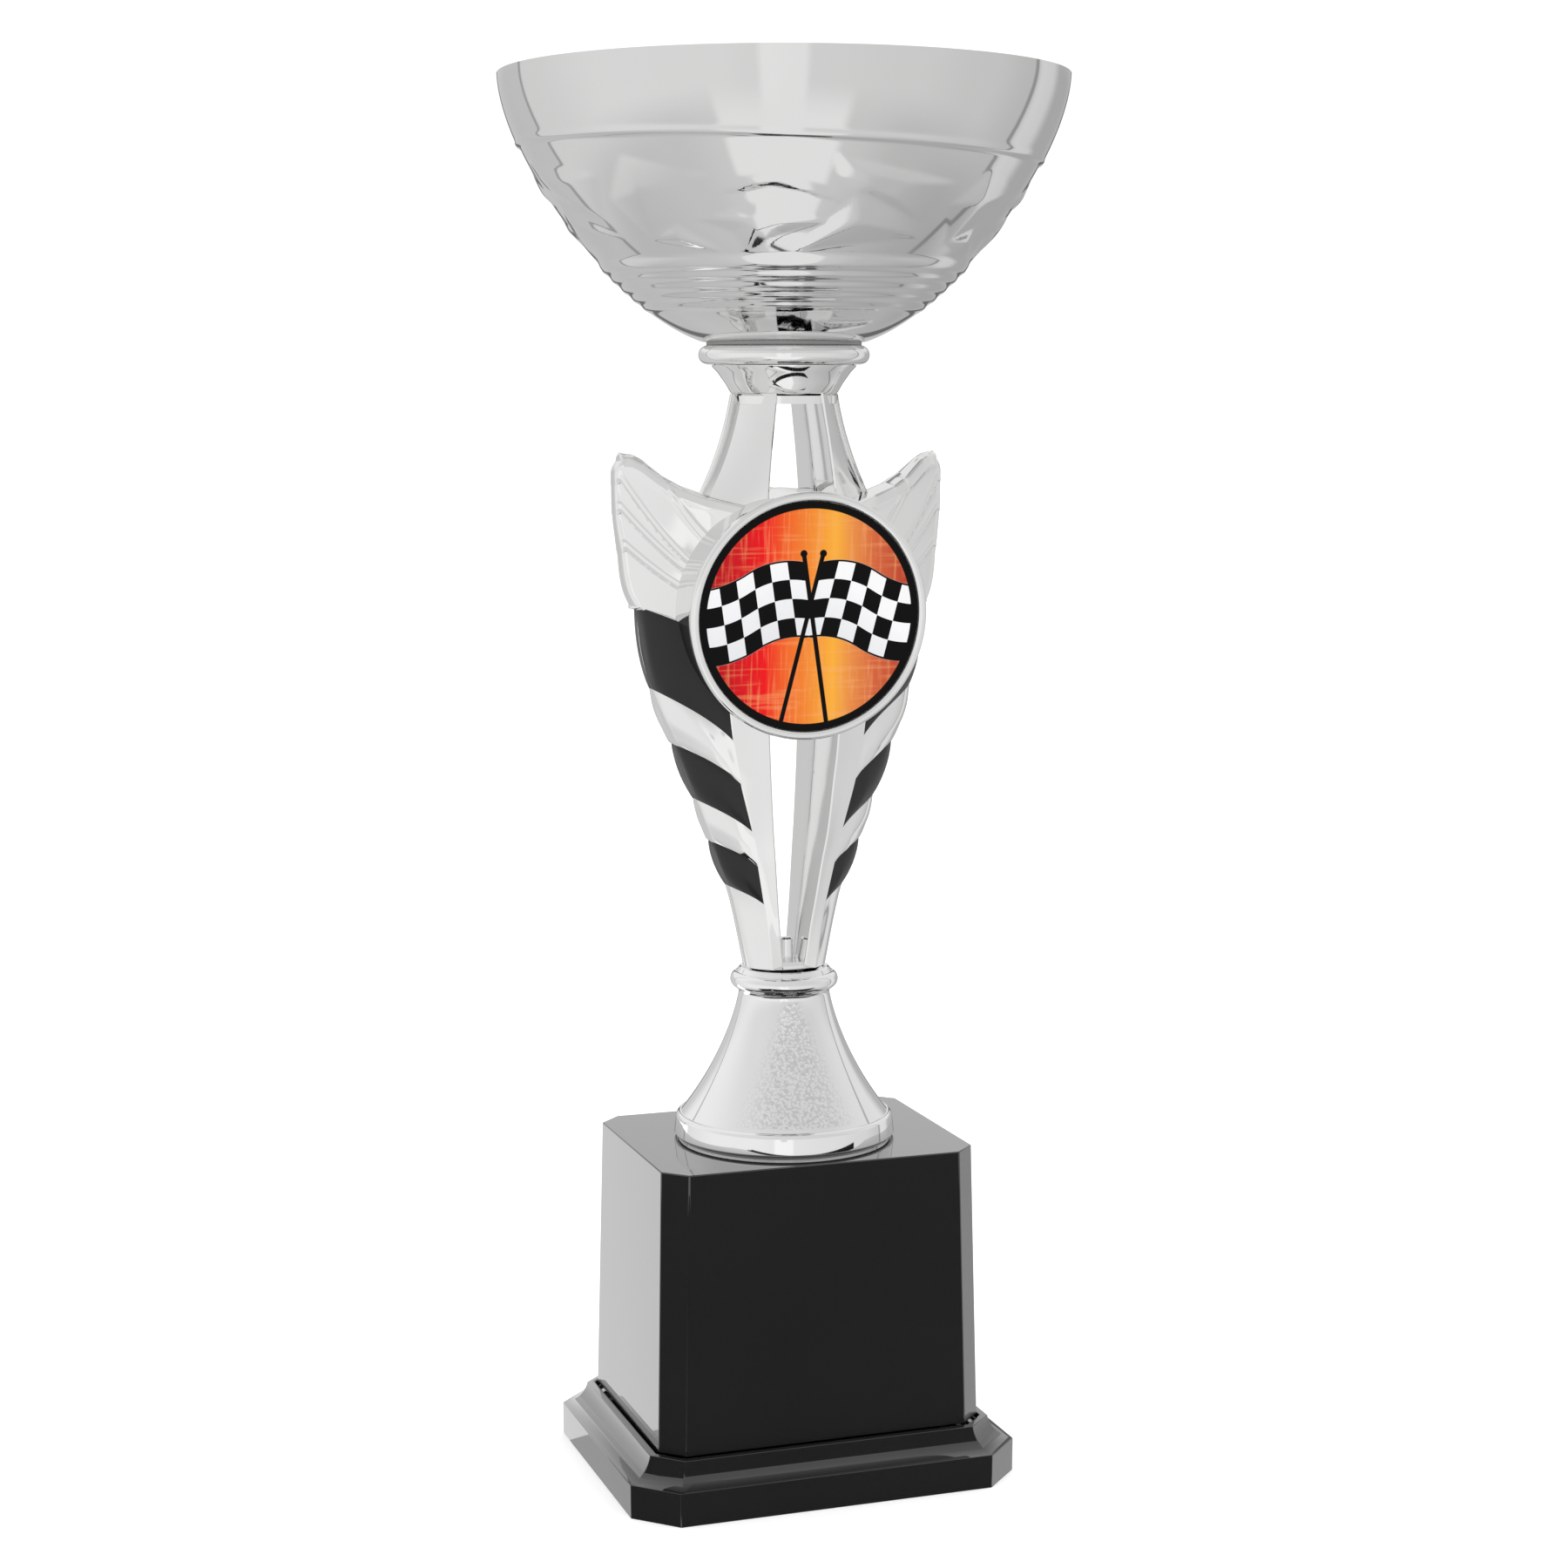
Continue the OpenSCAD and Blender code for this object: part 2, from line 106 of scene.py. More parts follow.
def close_up(obj, angle=30):
    """Merges doubled points, turns the faces outwards and shades the piece smooth."""
    edit_all(obj)
    bpy.ops.mesh.remove_doubles(threshold=0.002 * MM)
    bpy.ops.mesh.normals_make_consistent(inside=False)
    bpy.ops.object.mode_set(mode="OBJECT")
    bpy.ops.object.shade_smooth_by_angle(angle=math.radians(angle))
    print(obj.name, "has", len(obj.data.polygons), "faces")


def points_of(obj):
    flat = np.empty(len(obj.data.vertices) * 3)
    obj.data.vertices.foreach_get("co", flat)
    return flat.reshape(-1, 3)


def set_points(obj, points):
    obj.data.vertices.foreach_set("co", np.asarray(points, dtype=float).ravel())
    obj.data.update()


def turned(name, outline, steps=160, closed=False, angle=30):
    """Spins an outline of (radius, height) points, in millimetres, around the vertical axis."""
    bpy.ops.object.select_all(action="DESELECT")
    bpy.ops.mesh.primitive_plane_add(size=MM)
    obj = bpy.context.object
    obj.name = name
    edit_all(obj)
    bpy.ops.mesh.merge(type="CENTER")
    places = [Vector((r, 0, z)) * MM for r, z in outline]
    bpy.ops.transform.translate(value=places[0])
    for a, b in zip(places, places[1:]):
        bpy.ops.mesh.extrude_vertices_move(TRANSFORM_OT_translate={"value": b - a})
    bpy.ops.mesh.select_all(action="SELECT")
    if closed:
        bpy.ops.mesh.edge_face_add()
        bpy.ops.mesh.delete(type="ONLY_FACE")
        bpy.ops.mesh.select_all(action="SELECT")
    bpy.ops.mesh.spin(steps=steps, angle=2 * math.pi, center=(0, 0, 0), axis=(0, 0, 1))
    bpy.ops.object.mode_set(mode="OBJECT")
    close_up(obj, angle)
    return obj


def sheet(name, rows):
    """An open grid through rows of (x, y, z) points, in millimetres."""
    count, across = rows.shape[:2]
    bpy.ops.object.select_all(action="DESELECT")
    bpy.ops.mesh.primitive_grid_add(x_subdivisions=across - 1, y_subdivisions=count - 1, size=MM)
    obj = bpy.context.object
    obj.name = name
    set_points(obj, rows.reshape(-1, 3) * MM)
    return obj


def lofted(name, rows, angle=30, paint=None):
    """A closed skin through sections: rows holds rows of (x, y, z) points, each row a closed loop."""
    rows = np.asarray(rows, dtype=float)
    obj = sheet(name, np.concatenate([rows, rows[:, :1]], axis=1))
    if paint is not None:
        obj.data.polygons.foreach_set("material_index", np.asarray(paint, dtype=np.int32).ravel())
    edit_all(obj)
    bpy.ops.mesh.remove_doubles(threshold=0.002 * MM)
    bpy.ops.mesh.select_all(action="DESELECT")
    bpy.ops.mesh.select_non_manifold(extend=False)
    bpy.ops.mesh.fill_holes(sides=0)
    bpy.ops.object.mode_set(mode="OBJECT")
    close_up(obj, angle)
    return obj


def joined(name, parts):
    only(parts[0])
    for part in parts[1:]:
        part.select_set(True)
    bpy.ops.object.join()
    obj = bpy.context.object
    obj.name = name
    return obj


def arc(cx, cz, radius, start, end, count):
    """Points on an arc, from a start to an end angle in degrees."""
    turns = [math.radians(start + (end - start) * i / count) for i in range(count + 1)]
    return [(cx + radius * math.cos(a), cz + radius * math.sin(a)) for a in turns]


def cubic(a, b, c, d, t):
    a, b, c, d = (np.array(p, dtype=float) for p in (a, b, c, d))
    t = np.asarray(t, dtype=float)[..., None]
    return (1 - t) ** 3 * a + 3 * (1 - t) ** 2 * t * b + 3 * (1 - t) * t * t * c + t ** 3 * d


def smooth_through(at, keys):
    """A smooth curve through rows of keys, whose first column is the place along the curve."""
    keys = np.array(keys, dtype=float)
    place, values = keys[:, 0], keys[:, 1:]
    step = np.diff(place)[:, None]
    slope = np.diff(values, axis=0) / step
    bend = np.concatenate([slope[:1], (slope[1:] + slope[:-1]) / 2, slope[-1:]])
    flat = np.concatenate([[False], np.any(slope[1:] * slope[:-1] <= 0, axis=1), [False]])
    bend[flat] = np.where(slope[1:] * slope[:-1] <= 0, 0, (slope[1:] + slope[:-1]) / 2)[flat[1:-1]]
    at = np.clip(np.asarray(at, dtype=float), place[0], place[-1])
    i = np.clip(np.searchsorted(place, at) - 1, 0, len(place) - 2)
    t = ((at - place[i]) / np.diff(place)[i])[..., None]
    rise = np.diff(place)[i][..., None]
    return ((2 * t ** 3 - 3 * t ** 2 + 1) * values[i] + (t ** 3 - 2 * t ** 2 + t) * rise * bend[i]
            + (-2 * t ** 3 + 3 * t ** 2) * values[i + 1] + (t ** 3 - t ** 2) * rise * bend[i + 1])


# %% [markdown]
# ## Camera and stage
# The trophy is seen from a little above its middle and from its left, through a long lens. The
# floor is plain and pale. A plated surface shows only what is around it, so the surroundings are
# a soft light tent: pale all round, with a brighter opening in front and narrow dark gaps, which
# draw the thin dark lines along every rounded edge.

# %% Camera
CAMERA_YAW = math.radians(19.14)
CAMERA_PITCH = math.radians(7.53)
CAMERA_DISTANCE = 0.654
CAMERA_HEIGHT = 0.241
SENSOR = 36.0
LENS = 67.96

bpy.ops.object.select_all(action="DESELECT")
toward = Vector((-math.sin(CAMERA_YAW), -math.cos(CAMERA_YAW), 0))
bpy.ops.object.camera_add(location=toward * CAMERA_DISTANCE + Vector((0, 0, CAMERA_HEIGHT)),
                          rotation=(math.pi / 2 - CAMERA_PITCH, 0, -CAMERA_YAW))
camera = bpy.context.object
camera.data.sensor_width = SENSOR
camera.data.lens = LENS
camera.data.clip_start = 0.01
bpy.context.scene.camera = camera
print("camera at", [round(v, 3) for v in camera.location], "with a lens of", LENS, "mm")

# %% [markdown]
# ## Shader helpers
# A finish is a small network of nodes. Written node by node it is hard to read, so `Maths` wraps
# one number socket and lets ordinary arithmetic add the Math nodes. `Finish` holds one material
# and adds every other kind of node through one method.

# %% Shader helpers


class Maths:
    """Wraps a number socket, so that shader maths reads as arithmetic."""

    def __init__(self, tree, socket):
        self.tree, self.socket = tree, socket

    def op(self, kind, *others):
        node = self.tree.nodes.new("ShaderNodeMath")
        node.operation = kind
        for slot, value in zip(node.inputs, (self, *others)):
            if isinstance(value, Maths):
                self.tree.links.new(value.socket, slot)
            else:
                slot.default_value = value
        return Maths(self.tree, node.outputs[0])

    def flipped(self, kind, other):
        return Maths.op(Maths.number(self.tree, other), kind, self)

    @staticmethod
    def number(tree, value):
        node = tree.nodes.new("ShaderNodeValue")
        node.outputs[0].default_value = value
        return Maths(tree, node.outputs[0])

    def __add__(self, o):
        return self.op("ADD", o)

    def __radd__(self, o):
        return self.op("ADD", o)

    def __sub__(self, o):
        return self.op("SUBTRACT", o)

    def __rsub__(self, o):
        return self.flipped("SUBTRACT", o)

    def __mul__(self, o):
        return self.op("MULTIPLY", o)

    def __rmul__(self, o):
        return self.op("MULTIPLY", o)

    def __truediv__(self, o):
        return self.op("DIVIDE", o)

    def min(self, o):
        return self.op("MINIMUM", o)

    def max(self, o):
        return self.op("MAXIMUM", o)

    def abs(self):
        return self.op("ABSOLUTE")

    def sqrt(self):
        return self.op("SQRT")

    def floor(self):
        return self.op("FLOOR")

    def step(self, low, high):
        """0 below low, 1 above high, smooth between."""
        node = self.tree.nodes.new("ShaderNodeMapRange")
        node.interpolation_type = "SMOOTHSTEP"
        self.tree.links.new(self.socket, node.inputs["Value"])
        node.inputs["From Min"].default_value = low
        node.inputs["From Max"].default_value = high
        return Maths(self.tree, node.outputs[0])


class Finish:
    """One material: a Principled shader and the nodes that feed it."""

    def __init__(self, name, **sockets):
        self.material = bpy.data.materials.new(name)
        self.material.use_nodes = True
        self.tree = self.material.node_tree
        self.shader = self.tree.nodes["Principled BSDF"]
        for key, value in sockets.items():
            self.shader.inputs[key.replace("_", " ")].default_value = value
        self.place = self.node("ShaderNodeTexCoord").outputs["Object"]

    def node(self, kind, settings=None, **inputs):
        node = self.tree.nodes.new(kind)
        for key, value in (settings or {}).items():
            if key == "stops":
                ramp = node.color_ramp
                while len(ramp.elements) < len(value):
                    ramp.elements.new(0.5)
                for stop, (at, colour) in zip(ramp.elements, value):
                    stop.position, stop.color = at, (*colour, 1)
            else:
                setattr(node, key, value)
        for key, value in inputs.items():
            slot = node.inputs[key.replace("_", " ")]
            if isinstance(value, Maths):
                value = value.socket
            if isinstance(value, bpy.types.NodeSocket):
                self.tree.links.new(value, slot)
            else:
                slot.default_value = value
        return node

    def noise(self, scale, detail=2.0, roughness=0.5, vector=None):
        node = self.node("ShaderNodeTexNoise", Vector=vector or self.place, Scale=scale,
                         Detail=detail, Roughness=roughness)
        return Maths(self.tree, node.outputs[0])

    def stretched(self, x, y, z):
        return self.node("ShaderNodeMapping", Vector=self.place, Scale=(x, y, z)).outputs[0]

    def axes(self):
        node = self.node("ShaderNodeSeparateXYZ", Vector=self.place)
        return [Maths(self.tree, s) for s in node.outputs]

    def feed(self, socket, value):
        self.tree.links.new(value.socket if isinstance(value, Maths) else value,
                            self.shader.inputs[socket])

    def bump(self, height, depth):
        node = self.node("ShaderNodeBump", Height=height, Distance=depth, Strength=1.0)
        self.feed("Normal", node.outputs[0])

    def mix(self, mask, low, high):
        node = self.node("ShaderNodeMix", {"data_type": "RGBA"}, Factor=mask)
        for slot, value in ((node.inputs[6], low), (node.inputs[7], high)):
            if isinstance(value, bpy.types.NodeSocket):
                self.tree.links.new(value, slot)
            else:
                slot.default_value = (*value, 1)
        return node.outputs[2]


# %% [markdown]
# ## The light tent
# Real plated pieces are lit inside a white tent. A sphere of lamps would do, but a world whose
# brightness follows the direction is simpler and has no noise. Only glossy rays see its gaps and
# panels, so that the light on the matt surfaces stays even.

# %% Light tent
ROOM_LIGHT = 1.12
world = bpy.data.worlds.new("light_tent")
bpy.context.scene.world = world
world.use_nodes = True
tent = world.node_tree
background = tent.nodes["Background"]


def tent_maths():
    """The direction looked in, turned so that -Y points at the camera: sideways, depth, up."""
    coords = tent.nodes.new("ShaderNodeTexCoord")
    turn = tent.nodes.new("ShaderNodeMapping")
    turn.vector_type = "POINT"
    turn.inputs["Rotation"].default_value = (0, 0, CAMERA_YAW)
    split = tent.nodes.new("ShaderNodeSeparateXYZ")
    tent.links.new(coords.outputs["Generated"], turn.inputs["Vector"])
    tent.links.new(turn.outputs[0], split.inputs[0])
    return [Maths(tent, s) for s in split.outputs]


def around_tent(turn, stops):
    """Brightness around the tent: pairs of degrees from the camera's side and light."""
    node = tent.nodes.new("ShaderNodeValToRGB")
    node.color_ramp.interpolation = "EASE"
    ramp = node.color_ramp.elements
    while len(ramp) < len(stops):
        ramp.new(0.5)
    for stop, (degrees, light) in zip(ramp, stops):
        stop.position, stop.color = (degrees + 180) / 360, (light, light, light, 1)
    tent.links.new(turn.socket, node.inputs[0])
    return Maths(tent, node.outputs[0])


side, depth, up = tent_maths()
azimuth = side.op("ARCTAN2", depth * -1.0) * (180 / math.pi)
height = up.op("ARCSINE") * (180 / math.pi)
turn = (azimuth + 180) / 360
offset = azimuth.abs()
walls = around_tent(turn, [
    (-180, 0.60), (-150, 0.62), (-132, 0.66), (-126, 0.80), (-75, 0.90), (-28, 0.89), (-11, 0.86),
    (-8.5, 1.0), (8.5, 0.98), (11, 0.83), (50, 0.79), (90, 0.72), (118, 0.62), (124, 0.80),
    (133, 0.76), (143, 0.48), (155, 0.46), (180, 0.60)])
ground = around_tent(turn, [
    (-180, 0.70), (-120, 0.62), (-60, 0.70), (-34, 0.76), (-30, 0.98), (28, 0.98), (34, 0.74),
    (70, 0.62), (120, 0.50), (180, 0.60)])
overhead = around_tent(turn, [
    (-180, 0.86), (-120, 0.90), (-60, 0.76), (0, 0.71), (60, 0.68), (120, 0.78), (180, 0.86)])
level = height.step(-44, -24)
roof = height.step(2, 16)
tent_light = ground * (1 - level) + walls * level
tent_light = tent_light * (1 - roof) + overhead * roof


def bar(value, middle, half, soft):
    """1 within half of the middle, fading to 0 over soft."""
    return 1 - (value - middle).abs().step(half, half + soft)


camera_blob = bar(azimuth, 0.0, 2.4, 1.5) * bar(height, 3.0, 1.5, 1.5)
side_edge = bar(azimuth, 119.0, 0.9, 0.8) * height.step(-60, -40) + bar(azimuth, -129.0, 0.7, 0.7)
back_gap = bar(offset, 168.0, 1.6, 1.6) * bar(height, 0.0, 30, 8)
far_floor = bar(offset, 180.0, 6, 2) * bar(height, -27.0, 7.5, 1.5)
dimmed = (1 - 0.3 * camera_blob) * (1 - 0.45 * side_edge.min(1.0))
tent_light = tent_light * dimmed * (1 - 0.7 * back_gap) * (1 - 0.9 * far_floor)

rays = tent.nodes.new("ShaderNodeLightPath")
seen = Maths(tent, rays.outputs["Is Glossy Ray"])
strength = seen * tent_light + (1 - seen) * ROOM_LIGHT
tent.links.new(strength.socket, background.inputs["Strength"])
background.inputs["Color"].default_value = (1.0, 1.0, 0.995, 1)
print("light tent:", len(tent.nodes), "nodes")

# %% [markdown]
# ## Floor, lamps and cards
# The floor is one large pale grid that reflections don't see. Three weak square lamps add a soft
# direction to the light. The gloss black base would mirror the whole tent, so low cards stand
# beside it, as in a studio: two black ones keep it dark, and its left face mirrors a lit one.

# %% Floor and lights
FLOOR_REACH = 60.0
CARD_HIGH, CARD_MIDDLE, CARD_LEAN = 92, 22, 5
bpy.ops.object.select_all(action="DESELECT")
bpy.ops.mesh.primitive_grid_add(x_subdivisions=4, y_subdivisions=4, size=2 * FLOOR_REACH)
floor = bpy.context.object
floor.name = "floor"
floor.visible_glossy = False
floor_finish = Finish("pale_floor", Base_Color=(0.8, 0.8, 0.8, 1), Roughness=0.85,
                      Specular_IOR_Level=0.0, Emission_Color=(1, 1, 1, 1), Emission_Strength=0.32)
floor.data.materials.append(floor_finish.material)


def soft_light(name, azimuth, elevation, distance, size, watts):
    """A square lamp that looks at the middle of the trophy, at an angle from the camera's side."""
    a, e = math.radians(azimuth) - CAMERA_YAW, math.radians(elevation)
    middle = Vector((0, 0, RIM_Z / 2 * MM))
    spot = middle + distance * Vector((math.sin(a) * math.cos(e), -math.cos(a) * math.cos(e),
                                       math.sin(e)))
    bpy.ops.object.light_add(type="AREA", location=spot)
    lamp = bpy.context.object
    lamp.name = name
    lamp.data.shape = "SQUARE"
    lamp.data.size = size
    lamp.data.energy = watts
    lamp.rotation_euler = (middle - spot).to_track_quat("-Z", "Y").to_euler()
    lamp.visible_glossy = False


def card(name, across, ahead, turn, reach, light):
    """A low upright card beside the base, that only reflections see: black, or lit from behind."""
    bpy.ops.object.select_all(action="DESELECT")
    bpy.ops.mesh.primitive_grid_add(x_subdivisions=2, y_subdivisions=2, size=1)
    panel = bpy.context.object
    panel.name = name
    panel.scale = (reach * MM, CARD_HIGH * MM, 1)
    panel.rotation_euler = (math.radians(90 - CARD_LEAN), 0, turn)
    panel.location = (across * MM, ahead * MM, CARD_MIDDLE * MM)
    for flag in ("visible_camera", "visible_diffuse", "visible_shadow", "visible_transmission"):
        setattr(panel, flag, False)
    cloth = Finish(name, Base_Color=(0.012, 0.012, 0.012, 1), Roughness=1.0,
                   Specular_IOR_Level=0.0, Emission_Color=(1, 1, 1, 1), Emission_Strength=light)
    panel.data.materials.append(cloth.material)


card("front_card", 2, -74, 0, 164, 0.0)
card("left_card", -80, -44, math.radians(-90), 54, 0.0)
card("back_card", -62, 82, math.radians(160), 84, 1.24)

soft_light("key_light", -35, 50, 1.6, 1.8, 5)
soft_light("fill_light", 60, 35, 1.6, 1.8, 3)
soft_light("back_light", 160, 55, 1.8, 1.2, 4)
bpy.context.scene.view_settings.view_transform = "Standard"
print("stage: a floor, three cards and three lamps")

# %% [markdown]
# ## Plated finishes
# Bright plating is a mirror with a grey tint. Moulded plastic under it is never quite flat, so a
# slow, shallow waviness bends its reflections. On the front and back of the foot's cone, a patch
# that widens downwards is pebbled, which turns the mirror into a sparkle, and the plating's colour is
# painted darker along the edges of the pebbles: painted shade in the grain. The rest is smooth.

# %% Plating


def plating(name, grey, roughness, wave, wave_size=14.0):
    finish = Finish(name, Metallic=1.0, Roughness=roughness)
    tone = finish.noise(60, 3)
    finish.feed("Base Color", finish.mix(tone, (grey * 0.97,) * 3, (grey, grey, grey * 0.995)))
    smear = finish.noise(45, 4, 0.6)
    finish.feed("Roughness", roughness + 0.03 * smear.step(0.45, 0.8))
    finish.bump(finish.noise(1 / (wave_size * MM), 2), wave * MM)
    return finish.material


bowl_metal = plating("bowl_metal", grey=0.75, roughness=0.055, wave=0.05, wave_size=22)
riser_plating = plating("riser_plating", grey=0.88, roughness=0.07, wave=0.05)
ring_plating = plating("ring_plating", grey=0.88, roughness=0.09, wave=0.03)
neck_plating = plating("neck_plating", grey=0.88, roughness=0.04, wave=0.04)

GRAIN_TURN = math.radians(10)
GRAIN_LOW, GRAIN_TOP, GRAIN_FADE = foot_low[2] + 6.2, foot_high[2] - 6.4, 0.6


def pebbled_plating():
    finish = Finish("foot_plating", Metallic=1.0, Base_Color=(0.91, 0.91, 0.912, 1))
    x, y, z = finish.axes()
    cone = z.step(GRAIN_LOW * MM, (GRAIN_LOW + GRAIN_FADE) * MM)
    cone = cone * (1 - z.step((GRAIN_TOP - GRAIN_FADE) * MM, GRAIN_TOP * MM))
    pebbles = finish.node("ShaderNodeTexVoronoi", {"feature": "SMOOTH_F1"}, Vector=finish.place,
                          Scale=1 / (0.6 * MM))
    grain = Maths(finish.tree, pebbles.outputs["Distance"]) + 0.4 * finish.noise(1 / (0.3 * MM), 3)
    across = (x * math.cos(GRAIN_TURN) - y * math.sin(GRAIN_TURN)) / MM
    down = GRAIN_TOP - z / MM
    patch = cone * (1 - (across.abs() / (1.7 + 0.4 * down.max(0.0))).step(0.45, 1.3))
    finish.bump(grain * patch, 0.22 * MM)
    # Painted shade: the plating's colour is darkened along the edges of the pebbles, following the
    # bump.
    grain_shade = grain.step(0.45, 0.85) * patch
    finish.feed("Base Color", finish.mix(grain_shade, (0.91, 0.91, 0.912), (0.72, 0.72, 0.72)))
    finish.feed("Roughness", 0.045 + 0.06 * patch)
    return finish.material


foot_plating = pebbled_plating()
print("plated finishes:", bowl_metal.name, riser_plating.name, ring_plating.name, neck_plating.name,
      foot_plating.name)

# %% [markdown]
# ## Paint, plastic, felt and steel
# The black bands are sprayed over the plating, so they have a softer gloss than the moulded base.
# Small fasteners are zinc plated, with a fine dull grain. The print is drawn with shader maths
# on the disc's own place, so it needs no picture: each flag is a grid of cells under a curved top.

# %% Paint and plastics
EDGE_SOFT = 0.07
CELL_WIDE, CELL_HIGH = 4.02, 4.15
BORDER_R = 23.4


def black_paint():
    finish = Finish("black_paint", Roughness=0.3, Specular_IOR_Level=0.35)
    shade = finish.noise(90, 3)
    finish.feed("Base Color", finish.mix(shade, (0.008, 0.008, 0.009), (0.013, 0.013, 0.014)))
    finish.feed("Roughness", 0.24 + 0.16 * finish.noise(240, 3))
    finish.bump(finish.noise(1 / (0.9 * MM), 3), 0.012 * MM)
    return finish.material


def gloss_black():
    finish = Finish("black_gloss", Roughness=0.05, Coat_Weight=1.0, Coat_Roughness=0.03)
    shade = finish.noise(30, 3)
    finish.feed("Base Color", finish.mix(shade, (0.012, 0.012, 0.012), (0.015, 0.015, 0.015)))
    finish.feed("Roughness", 0.035 + 0.06 * finish.noise(50, 4).step(0.45, 0.9))
    finish.bump(finish.noise(1 / (28 * MM), 2), 0.05 * MM)
    return finish.material


def zinc_steel(name, grey):
    finish = Finish(name, Metallic=1.0, Roughness=0.35)
    grain = finish.noise(900, 4)
    finish.feed("Base Color", finish.mix(grain, (grey * 0.85,) * 3, (grey,) * 3))
    finish.feed("Roughness", 0.28 + 0.2 * grain)
    finish.bump(grain, 0.01 * MM)
    return finish.material


def black_felt():
    finish = Finish("felt", Roughness=0.95, Sheen_Weight=0.4)
    fibres = finish.noise(1 / (0.35 * MM), 5, 0.75)
    finish.feed("Base Color", finish.mix(fibres, (0.012, 0.012, 0.012), (0.05, 0.05, 0.05)))
    finish.bump(fibres, 0.2 * MM)
    return finish.material


def satin_backing():
    finish = Finish("disc_backing", Roughness=0.4)
    shade = finish.noise(300, 3)
    finish.feed("Base Color", finish.mix(shade, (0.70, 0.70, 0.71), (0.78, 0.78, 0.79)))
    finish.bump(shade, 0.01 * MM)
    return finish.material


def disc_print():
    """Crossed chequered flags over a gradient, with a border and a clear film."""
    finish = Finish("disc_print", Roughness=0.3, Specular_IOR_Level=0.03, Coat_Weight=0.04,
                    Coat_Roughness=0.08)
    x, _, z = finish.axes()
    x, y = x / MM, (z / MM - DISC_Z) / math.cos(DISC_TILT)
    radius = (x * x + y * y).sqrt()

    across = finish.node("ShaderNodeValToRGB", {"stops": [
        (0.04, (0.33, 0.006, 0.012)), (0.17, (0.48, 0.008, 0.014)), (0.30, (0.65, 0.009, 0.012)),
        (0.38, (0.67, 0.09, 0.018)), (0.50, (0.68, 0.20, 0.028)), (0.61, (0.73, 0.33, 0.036)),
        (0.69, (0.62, 0.21, 0.05)), (0.80, (0.50, 0.10, 0.04)), (0.96, (0.36, 0.035, 0.020))]},
        Fac=x / 50 + 0.5)
    upright = finish.noise(1.0, 2, 0.6, finish.stretched(900, 1, 60))
    level = finish.noise(1.0, 2, 0.6, finish.stretched(60, 1, 900))
    threads = upright.step(0.50, 0.68) * 0.30 + level.step(0.50, 0.68) * 0.28
    ground = finish.mix(threads, across.outputs[0], (0.72, 0.33, 0.13))

    def edge(distance):
        return 1 - distance.step(-EDGE_SOFT, EDGE_SOFT)

    def pole(top, slope):
        line = top[0] + (top[1] - y) * slope
        return edge((x - line).abs() - 0.52) * edge(y - top[1])

    def ball(top):
        dx, dy = x - top[0], y - top[1]
        return edge((dx * dx + dy * dy).sqrt() - 0.8)

    def flag(top, slope, side):
        """Ink and cloth of one flag that hangs from its pole, out to one side."""
        out = (x - (top[0] + (top[1] - y) * slope)) * side
        q = out / 22
        crest = 11.9 + 13.5 * q * (0.34 - q)
        crest = crest + 6.2 * (q - 0.62).max(0.0) * (q - 0.62).max(0.0) * 4
        down = crest - y
        cloth = edge(out * -1) * edge(down * -1) * edge(down - 16.6)
        column, row = (out / CELL_WIDE).floor().min(5.0), (down / CELL_HIGH).floor()
        odd = ((column + row) / 2 - ((column + row) / 2).floor()) * 2
        outline = cloth * (1 - edge(down * -1 + 0.4) * edge(down - 16.2))
        return cloth, (cloth * (1 - odd.step(0.4, 0.6))).max(outline), down

    poles = [((-1.7, 13.7), 0.162, -1), ((2.75, 13.7), -0.245, 1)]
    flags = [flag(*p) for p in poles]
    ink = ball(poles[0][0]).max(ball(poles[1][0]))
    ink = ink.max(pole(*poles[0][:2])).max(pole(*poles[1][:2]))
    cloth = flags[0][0].max(flags[1][0])
    shade = finish.mix((flags[0][2] / 20).max(0.0), (0.72, 0.72, 0.73), (0.58, 0.59, 0.61))
    colour = finish.mix(cloth, ground, shade)
    ink = ink.max(flags[0][1]).max(flags[1][1]).max(1 - edge(radius - BORDER_R))
    finish.feed("Base Color", finish.mix(ink, colour, (0.004, 0.004, 0.004)))
    finish.bump(threads, 0.01 * MM)
    return finish.material


print_film = disc_print()
paint = black_paint()
base_gloss = gloss_black()
zinc = zinc_steel("zinc_steel", 0.62)
mill_steel = zinc_steel("weight_steel", 0.34)
felt = black_felt()
backing = satin_backing()
print(len(bpy.data.materials), "materials so far")

# %% [markdown]
# ## The bowl
# The bowl is spun from thin sheet. Its side is one smooth curve from a small flat floor to an
# upright rim. Below a plain upper band, the sheet is pressed into sharp, flat-sided facets, and
# five fine rings are rolled in under them. The outline is spun, and the pressing is done
# by moving the points of that band, because facets this shallow need an even, fine mesh.

# %% Bowl
SHEET = 0.8
FLOOR_R = 17.9
BOWL_H = RIM_Z - BOWL_Z
bowl_curve = ((FLOOR_R, 0), (36.8, 6.3), (RIM_R - 0.7, BOWL_H - 18.5), (RIM_R, BOWL_H))
SHOULDER_Z = BOWL_Z + 39.6
BAND_LOW_Z = BOWL_Z + 16.0
RINGS = [BOWL_Z + v for v in (6.9, 8.8, 10.8, 12.9, 15.0)]
BAND_TILT = math.tan(math.radians(1.9))

curve_t = np.linspace(0, 1, 400)
curve_r, curve_z = cubic(*bowl_curve, curve_t).T
curve_z = curve_z + BOWL_Z


def ease(value, low, high):
    t = np.clip((value - low) / (high - low), 0, 1)
    return t * t * (3 - 2 * t)


